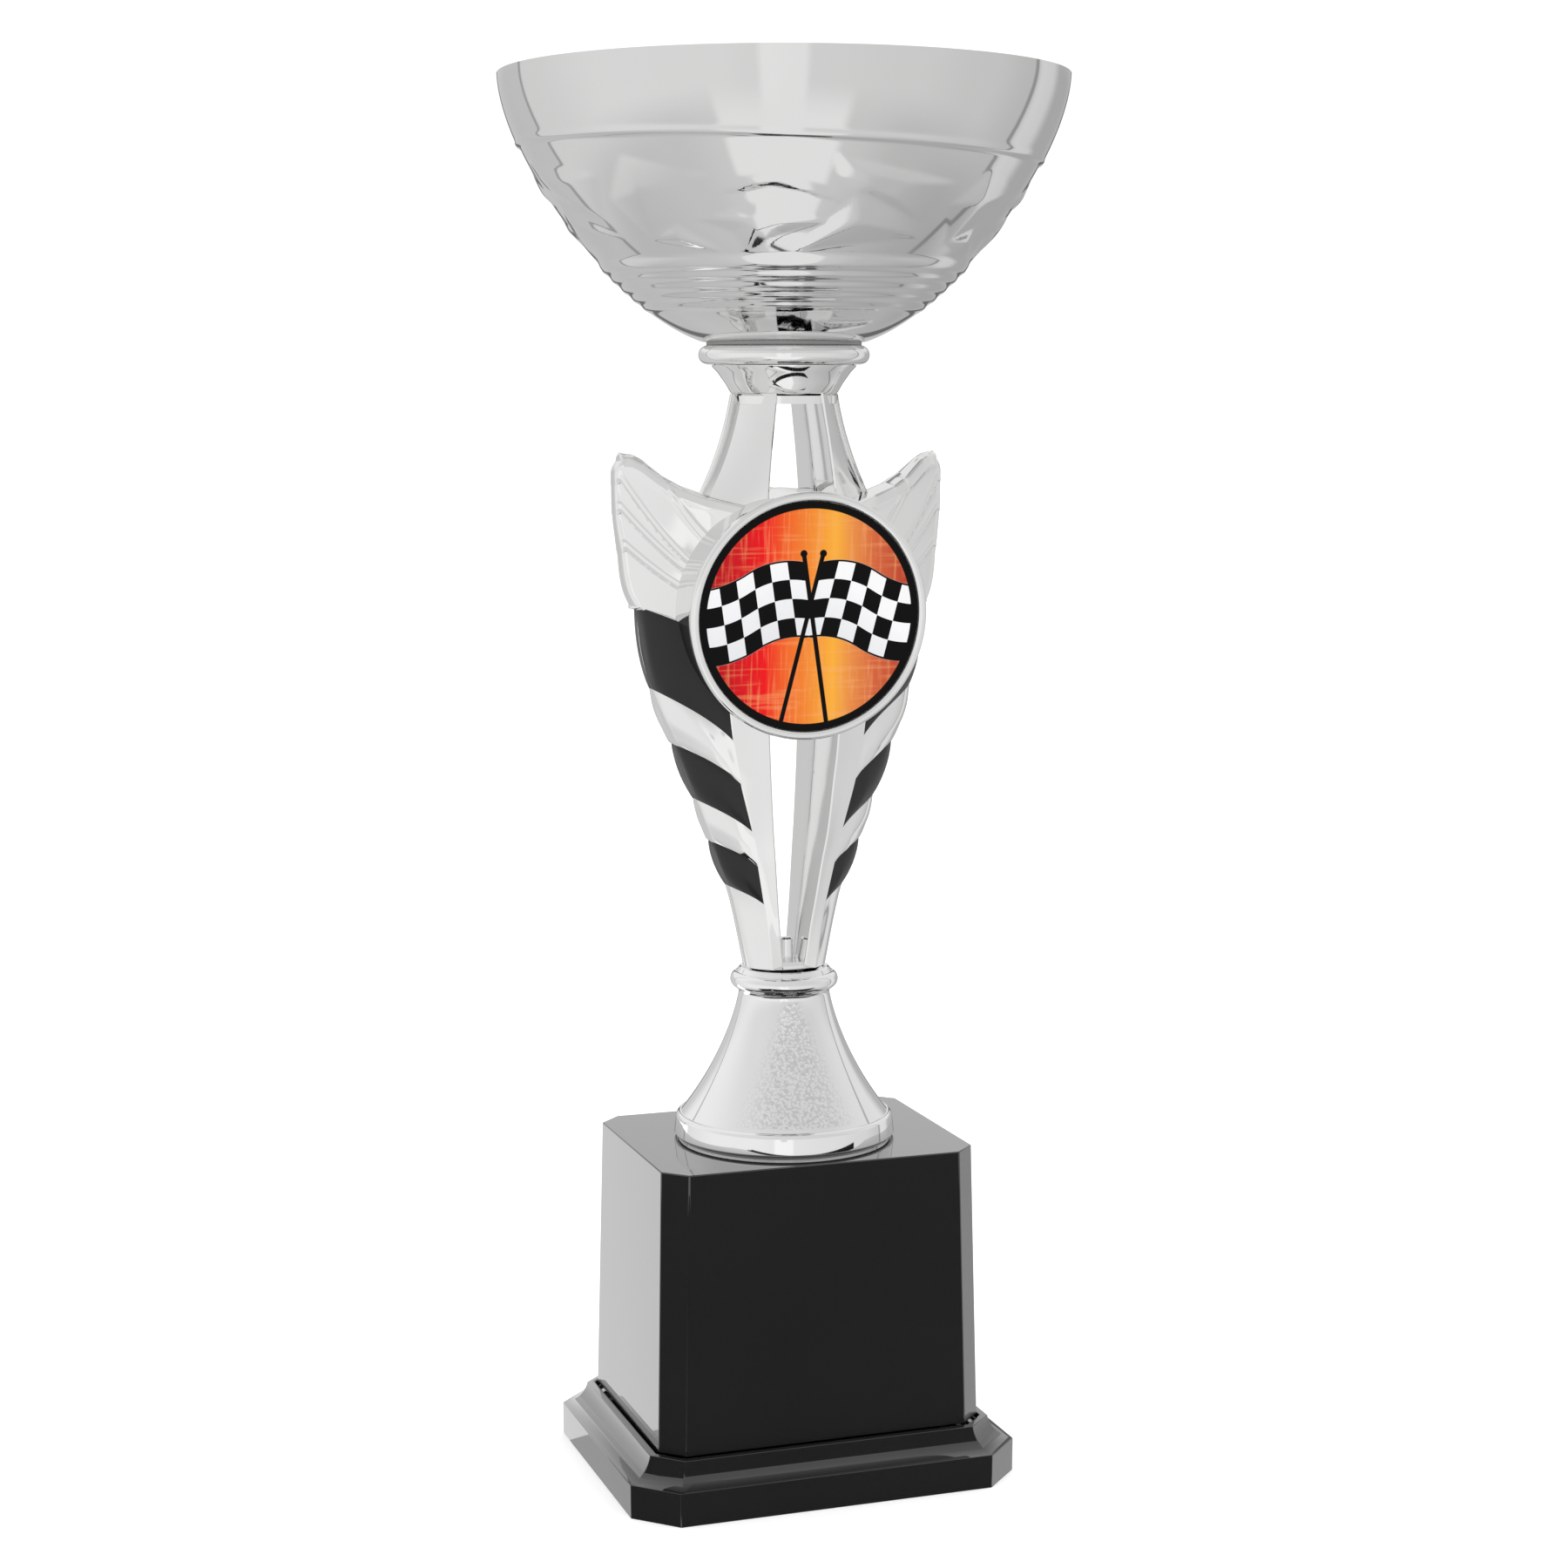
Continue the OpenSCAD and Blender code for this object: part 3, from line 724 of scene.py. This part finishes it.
def peak(around, z, top, outline, flat):
    """Height of a faceted pad: a pyramid over an outline, cut off flat near its top."""
    height = np.zeros_like(around)
    ta, tz, th = top
    for (ax, az), (bx, bz) in zip(outline, outline[1:] + outline[:1]):
        area = (ax - ta) * (bz - tz) - (bx - ta) * (az - tz)
        to_a = ((bz - tz) * (around - ta) - (bx - ta) * (z - tz)) / area
        to_b = ((ax - ta) * (z - tz) - (az - tz) * (around - ta)) / area
        inside = (to_a >= 0) & (to_b >= 0) & (to_a + to_b <= 1)
        height = np.where(inside, np.maximum(height, th * (1 - to_a - to_b)), height)
    return np.minimum(height, th * flat)


# The pads of one repeat: degrees around and height, first the top with its rise, then the outline.
PADS = [
    ((-2.0, 283.6, 0.9), [(-16.0, 280.2), (-8.0, 283.9), (-1.5, 288.0), (6.0, 283.6), (14.5, 278.9),
                          (-2.0, 281.6)], 0.8),
    ((-6.0, 275.6, 1.0), [(-23.5, 276.0), (-11.0, 277.4), (-4.8, 279.8), (2.5, 277.0), (12.5, 275.2),
                          (0.0, 272.6), (-10.5, 269.2), (-14.0, 273.2)], 0.62),
    ((-35.0, 281.0, 1.1), [(-37.0, 287.6), (-17.0, 284.0), (-29.0, 277.0), (-38.0, 270.8),
                           (-46.0, 279.5)], 0.85),
    ((-29.5, 272.6, 0.8), [(-41.0, 272.0), (-29.0, 274.9), (-17.0, 269.2), (-29.0, 270.4)], 0.9),
    ((22.0, 283.0, 0.95), [(11.0, 288.4), (24.0, 286.8), (43.5, 284.2), (37.5, 275.6),
                           (17.0, 281.2), (12.0, 284.4)], 0.7),
    ((19.0, 275.6, 0.85), [(17.0, 280.4), (28.0, 277.2), (40.0, 272.6), (22.0, 271.2),
                           (3.0, 269.2)], 0.9),
]
REPEAT = 90.0
PRESS_DEPTH, PRESS_FLOOR = 0.78, 0.5
SHOULDER_RISE, RING_RISE = 0.25, 0.27


def pressing(angle, z):
    """How far the sheet is pressed outwards at an angle from the camera's side and a height."""
    in_band = ease(z, BAND_LOW_Z, BAND_LOW_Z + 0.8) * (1 - ease(z, SHOULDER_Z - 0.5, SHOULDER_Z))
    height = np.zeros_like(angle)
    for repeat in (-2, -1, 0, 1, 2):
        for top, outline, flat in PADS:
            height = np.maximum(height, peak(angle - repeat * REPEAT, z, top, outline, flat))
    return PRESS_DEPTH * in_band * (height - PRESS_FLOOR)


profile_t = np.concatenate([np.linspace(0, 0.30, 36)[:-1], np.linspace(0.30, 0.80, 66)[:-1],
                            np.linspace(0.80, 1, 12)])
outer_side = cubic(*bowl_curve, profile_t)
BOWL_STEPS = 400
bowl = turned("cup_bowl_skin", [(2.75, 0.0), *[tuple(p) for p in outer_side]], BOWL_STEPS, angle=50)
places = points_of(bowl) / MM
radius = np.hypot(places[:, 0], places[:, 1])
angle = np.degrees(np.arctan2(places[:, 1], places[:, 0])) + 90 + math.degrees(CAMERA_YAW)
angle = (angle + 180) % 360 - 180
z = places[:, 2] + BOWL_Z
sideways = radius * np.sin(np.radians(angle))
tilting = ease(z, BAND_LOW_Z, SHOULDER_Z) * (1 - ease(z, SHOULDER_Z, RIM_Z))
new_z = z - BAND_TILT * sideways * tilting
new_r = np.where(radius > FLOOR_R - 0.1, np.interp(new_z, curve_z, curve_r), radius)
new_r = np.where(z > RIM_Z - 0.01, RIM_R, new_r)
push = pressing(angle, z)
push += SHOULDER_RISE * (1 - ease(np.abs(z - SHOULDER_Z - 0.5), 0.0, 0.9))
for ring in RINGS:
    push += RING_RISE * (1 - ease(np.abs(z - ring), 0.0, 0.95))
push = np.minimum(push, RIM_R - new_r)
turn = np.radians(angle - 90 - math.degrees(CAMERA_YAW))
places = np.stack([(new_r + push * 0.85) * np.cos(turn), (new_r + push * 0.85) * np.sin(turn),
                   np.maximum(new_z - push * 0.5, BOWL_Z)], axis=1)
set_points(bowl, places * MM)
only(bowl)
wall = bowl.modifiers.new("sheet", "SOLIDIFY")
wall.thickness = SHEET * MM
wall.offset = -1
bpy.ops.object.modifier_apply(modifier=wall.name)
places = points_of(bowl)
places[:, 2] = np.minimum(places[:, 2], RIM_Z * MM)
set_points(bowl, places)
close_up(bowl, 50)
bowl.data.materials.append(bowl_metal)
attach(bowl, BODY)
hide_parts("cup_bowl")

# %% [markdown]
# ## The neck collar
# A turned-looking moulding: a half-round bead, a narrow neck under it and a short cone that
# stands on the legs. Real arcs in the outline give the bead its sharp, running highlight.

# %% Neck collar
BEAD = 2.1
collar_z, collar_top = RISER_TOP, collar_high[2]
collar_r = collar_high[0]
waist_z = collar_top - 2 * BEAD - 0.2
collar_outline = [
    (2.75, collar_z + 2), (9.6, collar_z + 2), (10.4, collar_z + 0.05), (11.5, collar_z),
    (11.8, collar_z + 0.3), (12.9, collar_z + 2.2), (14.6, collar_z + 4.6), (15.7, waist_z - 0.35),
    (15.9, waist_z), (15.6, waist_z + 0.15), (15.3, waist_z + 0.5), (15.4, waist_z + 0.75),
    *arc(collar_r - BEAD, collar_top - BEAD, BEAD, -120, 80, 22),
    (collar_r - BEAD - 0.6, collar_top - 0.25), (collar_r - BEAD - 1.2, collar_top), (2.75, collar_top)]
collar = turned("neck_collar_skin", collar_outline, 160, closed=True)
collar.data.materials.append(neck_plating)
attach(collar, BODY)
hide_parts("neck_collar")

# %% [markdown]
# ## The flared foot
# One moulding from the bead down to the base ring. The cone between them has the pebbled patch, and
# the ring below it is polished and stands on a thin step, which leaves a dark line over the base.

# %% Flared foot
foot_z, foot_r, neck_r = foot_low[2], foot_high[0], 10.2
bead_r = 12.1
bead_round = 1.9
neck_z = foot_high[2] - 5.6
bead_z = neck_z + bead_round * 1.4
cone_z = foot_z + 5.7
cone = cubic((neck_r, neck_z - 0.2), (neck_r + 1.4, neck_z - 8), (foot_r - 8.6, cone_z + 9),
             (foot_r - 1.6, cone_z), np.linspace(0, 1, 40))
foot_outline = [
    (7.9, foot_high[2] - 0.4), (9.7, foot_high[2]), (10.1, foot_high[2] - 0.2),
    *arc(bead_r - bead_round, bead_z, bead_round, 75, -70, 24),
    (neck_r + 0.1, neck_z + 0.15), *[tuple(p) for p in cone],
    *arc(foot_r - 1.6, cone_z - 1.2, 1.2, 95, 5, 10),
    *arc(foot_r - 0.6, foot_z + 1.2, 0.6, 5, -80, 6),
    (foot_r - 0.9, foot_z + 0.55), (foot_r - 1.0, foot_z), (foot_r - 3.2, foot_z),
    (foot_r - 3.4, cone_z - 1), (8.2, neck_z - 12)]
foot = turned("flared_foot_skin", foot_outline, 160, closed=True)
foot.data.materials.append(foot_plating)
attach(foot, BODY)
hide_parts("flared_foot")

# %% [markdown]
# ## The base
# The block is a box with four chamfered corners and a slight draft. It could start from a cube, but
# two eight-sided sections give the draft and the chamfers at once. A narrow bevel then softens
# every edge, because a sharp one would catch no highlight.

# %% Base block
BLOCK_CHAMFER, BLOCK_DRAFT = 4.9, 1.3


def chamfered_row(half_x, half_y, chamfer, z):
    corners = [(half_x, half_y - chamfer), (half_x - chamfer, half_y)]
    corners += [(-x, y) for x, y in reversed(corners)]
    corners += [(-x, -y) for x, y in corners]
    return [(x, y, z) for x, y in corners]


def soften(obj, width):
    only(obj)
    edge = obj.modifiers.new("soft_edges", "BEVEL")
    edge.width = width * MM
    edge.segments = 3
    edge.limit_method = "ANGLE"
    edge.angle_limit = math.radians(24)
    bpy.ops.object.modifier_apply(modifier=edge.name)
    bpy.ops.object.shade_smooth_by_angle(angle=math.radians(32))


block_x, block_y = block_high[0], block_high[1]
block = lofted("base_block_skin", [
    chamfered_row(block_x, block_y, BLOCK_CHAMFER, block_low[2]),
    chamfered_row(block_x - BLOCK_DRAFT, block_y - BLOCK_DRAFT, BLOCK_CHAMFER, block_high[2])])
soften(block, 0.25)
block.data.materials.append(base_gloss)
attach(block, BODY)
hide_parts("base_block")

# %% [markdown]
# ## The plinth
# The plinth is a moulding with an upright band, a hollow cove and a narrow ledge under the block.
# A profile swept round the outline would do. Here the same chamfered section is drawn again at
# each height and lofted, so the corners stay flat all the way up.

# %% Plinth
PLINTH_CHAMFER, BAND_H = 8.7, 7.5
plinth_x, plinth_y = plinth_high[0], plinth_high[1]
plinth_top = block_low[2]
reach = plinth_x - block_x
rows = [chamfered_row(plinth_x - 0.05, plinth_y - 0.05, PLINTH_CHAMFER, 0.0),
        chamfered_row(plinth_x, plinth_y, PLINTH_CHAMFER, BAND_H)]
COVE_LOW, COVE_HIGH = math.radians(16), math.radians(80)
for a in np.linspace(COVE_LOW, COVE_HIGH, 15):
    across = (math.sin(a) - math.sin(COVE_LOW)) / (math.sin(COVE_HIGH) - math.sin(COVE_LOW))
    raised = (math.cos(COVE_LOW) - math.cos(a)) / (math.cos(COVE_LOW) - math.cos(COVE_HIGH))
    inward = 0.7 + (reach - 2.9) * across
    rows.append(chamfered_row(plinth_x - inward, plinth_y - inward, PLINTH_CHAMFER - inward / 2,
                              BAND_H + 0.15 + (plinth_top - BAND_H - 0.3) * raised))
for inward, height_at in ((reach - 0.9, plinth_top), (reach - 0.55, plinth_top - 0.15),
                          (reach - 0.45, plinth_top - 1.6)):
    rows.append(chamfered_row(plinth_x - inward, plinth_y - inward, 5.0, height_at))
plinth = lofted("base_plinth_skin", rows)
soften(plinth, 0.15)
plinth.data.materials.append(base_gloss)
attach(plinth, BODY)
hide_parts("base_plinth")

# %% [markdown]
# ## The rings around the disc
# Each ring is turned from a small outline whose arcs give it a rounded lip. It is then stood up
# in the drum and tipped a little. The back ring is the same shape, mirrored.

# %% Rings around the disc


def facing(obj, front):
    """Stands a turned piece up at the disc: its axis forwards and a little down."""
    lean = Matrix.Rotation(math.pi / 2 + DISC_TILT, 4, "X")
    place = Matrix.Translation(Vector((0, -DISC_Y, DISC_Z)) * MM) @ lean
    if not front:
        place = Matrix.Scale(-1, 4, Vector((0, 1, 0))) @ place
    obj.data.transform(place)
    if not front:
        edit_all(obj)
        bpy.ops.mesh.normals_make_consistent(inside=False)
        bpy.ops.object.mode_set(mode="OBJECT")
    return obj


for name, node, front in (("front_ring", "bezel_ring", True),
                          ("back_ring", "back_bezel_ring", False)):
    ring_outline = [(DISC_R + 0.02, -1.6), (DISC_R + 0.02, 0.0),
                    *arc(DISC_R + 0.9, 0.0, 0.85, 175, 95, 6),
                    *arc(DISC_R + RING_W - 1.0, -0.12, 0.98, 75, 0, 8),
                    (DISC_R + RING_W, -1.3), (DISC_R + RING_W - 0.25, -1.6)]
    ring = facing(turned(name, ring_outline, 200, closed=True), front)
    ring.data.materials.append(ring_plating)
    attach(ring, BODY)
    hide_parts(node)

# %% [markdown]
# ## The riser
# The riser is two plated mouldings that meet at a seam through their sides. Each half has two
# legs with a slot between them, two feathered wings and a drum for the disc. These are soft,
# sculpted shapes, so each one is a fine grid whose points follow a few curves: the slot's edge,
# the edge of the front face and the outline. One function places a point on the front half's
# right side. The left side and the back half are its mirror images about the axis and the seam.

# %% Riser helpers


def seam(x):
    """How far behind the axis the seam lies, at a distance from the axis."""
    past = np.abs(x) - SEAM_FLAT
    return WING_SWEEP * (past + np.sqrt(past ** 2 + 9.0)) / 2 / (WING_HALF - SEAM_FLAT + 0.2)


# Rows of the lower leg: height of the edge of the front face, its x and its depth before the seam,
# the slot's x and depth, and the outline's height and x.
LEG_LOW = RISER_Z + 0.3
LEG_KEYS = [
    (0.0, LEG_LOW, 5.2, 7.0, 2.3, 6.8, LEG_LOW, 9.3),
    (1.0, 123.5, 6.4, 7.2, 3.4, 7.8, 125.0, 11.6),
    (2.0, 129.0, 7.3, 7.6, 4.1, 8.7, 132.6, 13.6),
    (3.0, 137.7, 9.0, 8.5, 5.1, 10.1, 142.6, 17.4),
    (4.0, 145.6, 10.6, 9.4, 6.1, 11.5, 152.2, 20.9),
    (5.0, 156.4, 13.4, 9.9, 7.0, 12.6, 164.4, 25.5),
    (6.0, 166.0, 15.2, 10.1, 7.7, 13.6, 176.7, 30.2),
    (7.0, 187.0, 17.5, 10.2, 8.6, 13.8, 194.9, 33.4)]
BLACK_BANDS = (2, 4, 6)


def swell(place):
    """How far a band stands out of the line between its edges, at its place up the leg."""
    band = np.minimum(np.floor(place), 6)
    w = place - band
    hump = np.sin(np.pi * np.clip(w, 0, 1))
    black = 1.15 * hump ** 0.75
    lip = 0.55 * ease(w, 0.0, 0.05) * (1 - ease(w, 0.16, 0.27))
    silver = lip + 1.0 * hump ** 0.9 * ease(w, 0.0, 0.3)
    size = np.select([band == 2, band == 3, band == 4, band == 5, band == 6],
                     [0.85, 0.8, 0.95, 1.0, 1.05], 0.0)
    return size * np.where(np.isin(band, BLACK_BANDS), black, silver)


def lower_leg(places, side_steps=22):
    """Closed sections of one lower leg, from the seam in the slot round the front to the outline."""
    rows = []
    v = np.linspace(0, 1, side_steps)
    for place in places:
        z_face, x_face, h_face, x_slot, h_slot, z_out, x_out = smooth_through(
            place, LEG_KEYS)
        out = swell(np.array(place))
        y_out = seam(x_out)
        row = [(x_slot - 0.25, 0.35, z_face), (x_slot + 0.05, -0.45, z_face)]
        row += [(x_slot, -h_slot + 0.9, z_face), (x_slot + 0.12, -h_slot + 0.3, z_face),
                (x_slot + 0.45, -h_slot + 0.03, z_face)]
        ahead = np.array((x_face - x_slot, h_face - h_slot))
        row += [(x_slot + 0.45 + (ahead[0] - 0.9) * t, -h_slot + 0.03 - (ahead[1] - 0.1) * t, z_face)
                for t in (0.33, 0.66)]
        row += [(x_face - 0.3, -h_face - 0.02, z_face), (x_face, -h_face + 0.12, z_face)]
        edge = np.array((x_face, -h_face + 0.12))
        far = np.array((x_out, y_out - 0.25))
        span = far - edge
        curve = cubic(edge, edge + span * (0.36, 0.20), far - (0.0, span[1] * 0.52), far, v[1:])
        normal = np.array((span[1], -span[0])) / np.hypot(*span)
        fullness = np.clip(v[1:] * 4, 0, 1) ** 0.7 * np.clip((1 - v[1:]) * 6, 0.45, 1)
        curve = curve + np.outer(fullness * out, normal)
        curve[:, 0] = np.maximum(curve[:, 0], x_face)
        fall = (1 - v[1:]) ** 1.7
        row += [(x, y, z_out + (z_face - z_out) * f) for (x, y), f in zip(curve, fall)]
        row += [(x_out + out * 0.7 - 0.3, y_out + 0.35, z_out)]
        rows.append(row)
    return np.array(rows)


def band_places(fine=13):
    """Places up the leg, closest together beside the edges of the bands."""
    inside = (1 - np.cos(np.pi * np.linspace(0, 1, fine + 1)[:-1])) / 2
    return np.concatenate([band + inside for band in range(7)] + [[7.0]])


def upper_leg(steps=30):
    keys = [(0, 200.0, 8.3, 12.6, 21.5), (8, 208.0, 8.0, 12.6, 21.3), (14, 214.0, 7.75, 12.5, 20.6),
            (18, 218.0, 7.55, 12.4, 19.3), (25, 225.0, 6.9, 11.9, 16.2), (31, 231.0, 6.2, 11.4, 14.0),
            (36, 236.0, 5.5, 10.9, 12.6), (RISER_TOP - 200, RISER_TOP, 4.85, 10.5, 11.6)]
    rows = []
    v = np.linspace(0, 1, 18)
    for place in np.linspace(0, RISER_TOP - 200, steps):
        z, x_slot, h_slot, x_out = smooth_through(place, keys)
        y_out = 2.2
        row = [(x_slot - 0.25, 0.35, z), (x_slot + 0.05, -0.45, z), (x_slot, 1.0 - h_slot, z),
               (x_slot + 0.1, 0.35 - h_slot, z), (x_slot + 0.45, 0.04 - h_slot, z)]
        edge, far = np.array((x_slot + 0.45, 0.04 - h_slot)), np.array((x_out, y_out - 1.9))
        span = far - edge
        normal = np.array((span[1], -span[0])) / np.hypot(*span)
        face = edge + np.outer(v[1:], span) + np.outer(np.sin(np.pi * v[1:]) * 0.5, normal)
        row += [(x, y, z) for x, y in face]
        row += [(x_out + 0.25, y_out - 1.3, z), (x_out + 0.3, y_out - 0.4, z), (x_out + 0.1, 0.35, z)]
        rows.append(row)
    return np.array(rows)


print("leg:", len(LEG_KEYS), "keys from", round(LEG_LOW, 1), "mm up")

# %% [markdown]
# ## The wings
# A wing is a thick blade that sweeps back. Its front carries feathers: fine double ridges that
# curve down from the edge towards the drum, with each feather slightly full between them. A low
# ridge follows the top, and the edges are rounded and run back to the seam.

# %% Wing
WING_IN = [(0.0, 15.0, 182.0), (1.0, 6.0, 213.5)]
WING_OUT = [(0.0, 33.0, 195.0), (0.07, 34.4, 198.0), (0.35, 35.8, 207.0), (0.6, 36.8, 214.5),
            (0.82, 37.0, 221.5), (0.92, 36.9, 224.2), (1.0, 35.9, 226.0)]
WING_TOP = [(6.0, 214.0), (8.9, 214.5), (19.5, 217.3), (25.0, 219.3), (29.1, 221.7), (33.0, 225.0),
            (34.6, 225.9), (35.9, 226.0)]
FEATHERS = [((38.2, 223.6), (18.0, 200.5)), ((37.8, 216.4), (18.0, 199.2)),
            ((36.8, 208.0), (18.0, 195.5))]
HALF_THICK = 6.2


def wing_front(x, z):
    """Depth of the wing's front face: full feathers, double ridges and a low ridge at the top."""
    lift = np.zeros_like(x)
    for (x_out, z_out), (x_in, z_in) in FEATHERS:
        along = np.clip((x - x_in) / (x_out - x_in), 0, 1.05)
        line = z_in + (z_out - z_in) * along ** 1.5
        slope = 1.5 * (z_out - z_in) / (x_out - x_in) * np.sqrt(along)
        gap = (z - line) / np.hypot(1, slope)
        lift += 0.24 * np.exp(-(gap / 0.32) ** 2) + 0.12 * np.exp(-((gap - 1.1) / 0.28) ** 2)
        lift += 0.22 * np.exp(-np.clip(gap, 0, None) / 3.5) * (gap > 0)
    branch = 208.5 + (222.4 - 208.5) * np.clip((x - 17.5) / 11.0, 0, 1.1) ** 1.35
    gap = (z - branch) / 1.6
    near = np.clip((30.5 - x) / 3, 0, 1) * np.clip((x - 17.5) / 2, 0, 1)
    lift += near * (0.28 * np.exp(-(gap / 0.4) ** 2) + 0.16 * np.exp(-((gap + 1.2) / 0.35) ** 2))
    top = np.interp(x, [p[0] for p in WING_TOP], [p[1] for p in WING_TOP])
    below = top - z
    lift += 0.35 * np.exp(-((below - 1.0) / 0.9) ** 2)
    outward = np.clip((x - 20) / 17.4, 0, 1)
    forward = 0.75 * (19.0 - x + np.sqrt((19.0 - x) ** 2 + 4.0)) / 2
    return seam(x) - HALF_THICK + 4.5 * outward ** 1.6 - forward - lift


def square_to(line, tangent=None):
    """Unit directions in the wing's plane, square to a line of points and to its right."""
    if tangent is None:
        tangent = np.gradient(line[:, [0, 2]], axis=0)
    square = np.stack([tangent[:, 1], -tangent[:, 0]], axis=1)
    return square / np.maximum(np.linalg.norm(square, axis=1)[:, None], 1e-6)


def wing(rows_up=120, across=96):
    u = np.linspace(0, 1, rows_up)
    v = np.linspace(0, 1, across)
    inner = smooth_through(u, WING_IN)
    outer = smooth_through(u, WING_OUT)
    base = inner[:, None] + (outer - inner)[:, None] * v[None, :, None]
    chord = base[-1]
    crest = np.interp(chord[:, 0], [p[0] for p in WING_TOP], [p[1] for p in WING_TOP])
    base[..., 1] += np.outer(u ** 2.2, crest - chord[:, 1])
    x, z = base[..., 0], base[..., 1]
    front = np.stack([x, wing_front(x, z), z], axis=-1)

    def rounded(line, outward, turns=6, radius=1.5):
        """Rows that turn from the front round an edge and run back to the seam."""
        rows = []
        for a in np.linspace(0, math.pi / 2, turns + 1)[1:]:
            row = line.copy()
            row[:, [0, 2]] += outward * radius * math.sin(a)
            row[:, 1] += radius * (1 - math.cos(a))
            rows.append(row)
        flat = rows[-1]
        for t in (0.25, 0.5, 0.75, 1.0):
            row = flat.copy()
            row[:, 1] = flat[:, 1] + (seam(flat[:, 0]) + 0.05 - flat[:, 1]) * t
            row[:, [0, 2]] += outward * 0.5 * (1 - (1 - t) ** 2)
            rows.append(row)
        for row in rows:
            row[:, 1] = np.minimum(row[:, 1], seam(row[:, 0]) + 0.05)
        return rows

    top = rounded(front[-1], -square_to(front[-1]))
    under = rounded(front[0], square_to(front[0]), turns=3, radius=0.5)
    rows = np.array(under[::-1] + list(front) + top)
    tangent = np.gradient(rows[:, -1, :][:, [0, 2]], axis=0)
    tangent[:len(under)], tangent[-len(top):] = tangent[len(under)], tangent[-len(top) - 1]
    outward = square_to(rows[:, -1, :], tangent)
    sides = []
    for a in np.linspace(0, math.pi / 2, 6)[1:]:
        column = rows[:, -1].copy()
        column[:, [0, 2]] += outward * 1.0 * math.sin(a)
        column[:, 1] += 1.0 * (1 - math.cos(a))
        column[:, 1] = np.minimum(column[:, 1], seam(column[:, 0]) + 0.05)
        sides.append(column)
    column = sides[-1].copy()
    column[:, 1] = seam(column[:, 0]) + 0.05
    sides.append(column)
    return np.concatenate([rows, np.stack(sides, axis=1)], axis=1)


def placed(rows, right, front):
    rows = rows.copy()
    if not front:
        rows[..., 1] = 2 * seam(rows[..., 0]) - rows[..., 1]
    if not right:
        rows[..., 0] *= -1
    return rows


print("wing:", len(FEATHERS), "feathers")

# %% [markdown]
# ## The riser halves
# The parts of one half are made on the right, placed on both sides and joined. The black bands
# are the same skin as the leg, painted by face. A small plate closes each end of the slots, and a
# short peg stands at the bottom.

# %% Riser halves
leg_places = band_places()
leg_rows = lower_leg(leg_places)
around = leg_rows.shape[1]
band_of = np.floor((leg_places[:-1] + leg_places[1:]) / 2).astype(int)
leg_paint = np.zeros((len(leg_rows) - 1, around), dtype=int)
leg_paint[np.isin(band_of, BLACK_BANDS), 8:around - 1] = 1
upper_rows = upper_leg()
wing_rows = wing()

for name, node, front in (("front_half", "riser_front_half", True),
                          ("back_half", "riser_back_half", False)):
    parts = []
    for right in (True, False):
        parts.append(lofted("leg", placed(leg_rows, right, front), 32, leg_paint))
        parts.append(lofted("upper_leg", placed(upper_rows, right, front), 32))
        blade = sheet("wing", placed(wing_rows, right, front))
        close_up(blade, 40)
        parts.append(blade)
    drum = turned("drum", [(DRUM_R - 2, -DISC_Y + 1.0), (DRUM_R, -DISC_Y + 1.0), (DRUM_R, -1.7),
                           (DRUM_R - 0.2, -1.6), (DRUM_R - 2, -1.6)], 160)
    facing(drum, front)
    parts.append(drum)
    centres = np.array([p.center for p in drum.data.polygons]) / MM
    low_side = (centres[:, 2] < DISC_Z - 1.5) & (np.abs(centres[:, 0]) > 15.9)
    drum.data.polygons.foreach_set("material_index", low_side.astype(np.int32))
    for z_low, z_high, wide, deep in ((RISER_TOP - 2.2, RISER_TOP - 0.05, 11.5, 9.9),
                                      (RISER_Z + 0.1, RISER_Z + 1.7, 8.6, 6.6)):
        turns = np.radians(np.arange(0, 180.1, 5))
        outline = [(wide * math.cos(a), -deep * math.sin(a) ** 0.8) for a in turns]
        plate = np.array([[(x, y, z) for x, y in outline] for z in (z_low, z_high - 0.4, z_high)])
        plate[2, :, :2] *= 0.96
        plate[..., 1] += 0.1
        parts.append(lofted("plate", placed(plate, True, front), 40))
    if front:
        peg_outline = [(0.01, 6.6), (1.1, 6.6), (1.5, 6.2), (1.6, 0), (0.01, 0)]
        peg = turned("peg", peg_outline, 24, closed=True)
        peg.data.transform(Matrix.Translation(Vector((0, -1.2, RISER_Z)) * MM))
        parts.append(peg)
    for part in parts:
        part.data.materials.append(riser_plating)
        part.data.materials.append(paint)
    half = joined("riser_" + name, parts)
    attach(half, BODY)
    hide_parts(node)
    print(half.name, len(half.data.polygons), "faces")

# %% [markdown]
# ## Pieces that keep their CAD shape
# The fasteners, the plates and the discs have the right shape already, so they only get a finish.
# The print is hidden from reflections: seen in the plated bowl, its colours would show as a
# faint stain in the rings.

# %% Finishes of the pieces that keep their CAD shape
KEPT = {"tie_bolt": zinc, "tie_washer": zinc, "foot_nut": zinc, "cup_nut": zinc, "cup_washer": zinc,
        "cup_screw": zinc, "plinth_screws": zinc, "cup_seat": mill_steel, "base_weight": mill_steel,
        "base_pad": felt, "insert_disc": backing, "insert_print": print_film, "back_disc": ring_plating}
for node, material in KEPT.items():
    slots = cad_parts[node].data.materials
    slots.clear()
    slots.append(material)
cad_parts["insert_print"].visible_glossy = False
print(len(KEPT), "CAD pieces have a new finish")
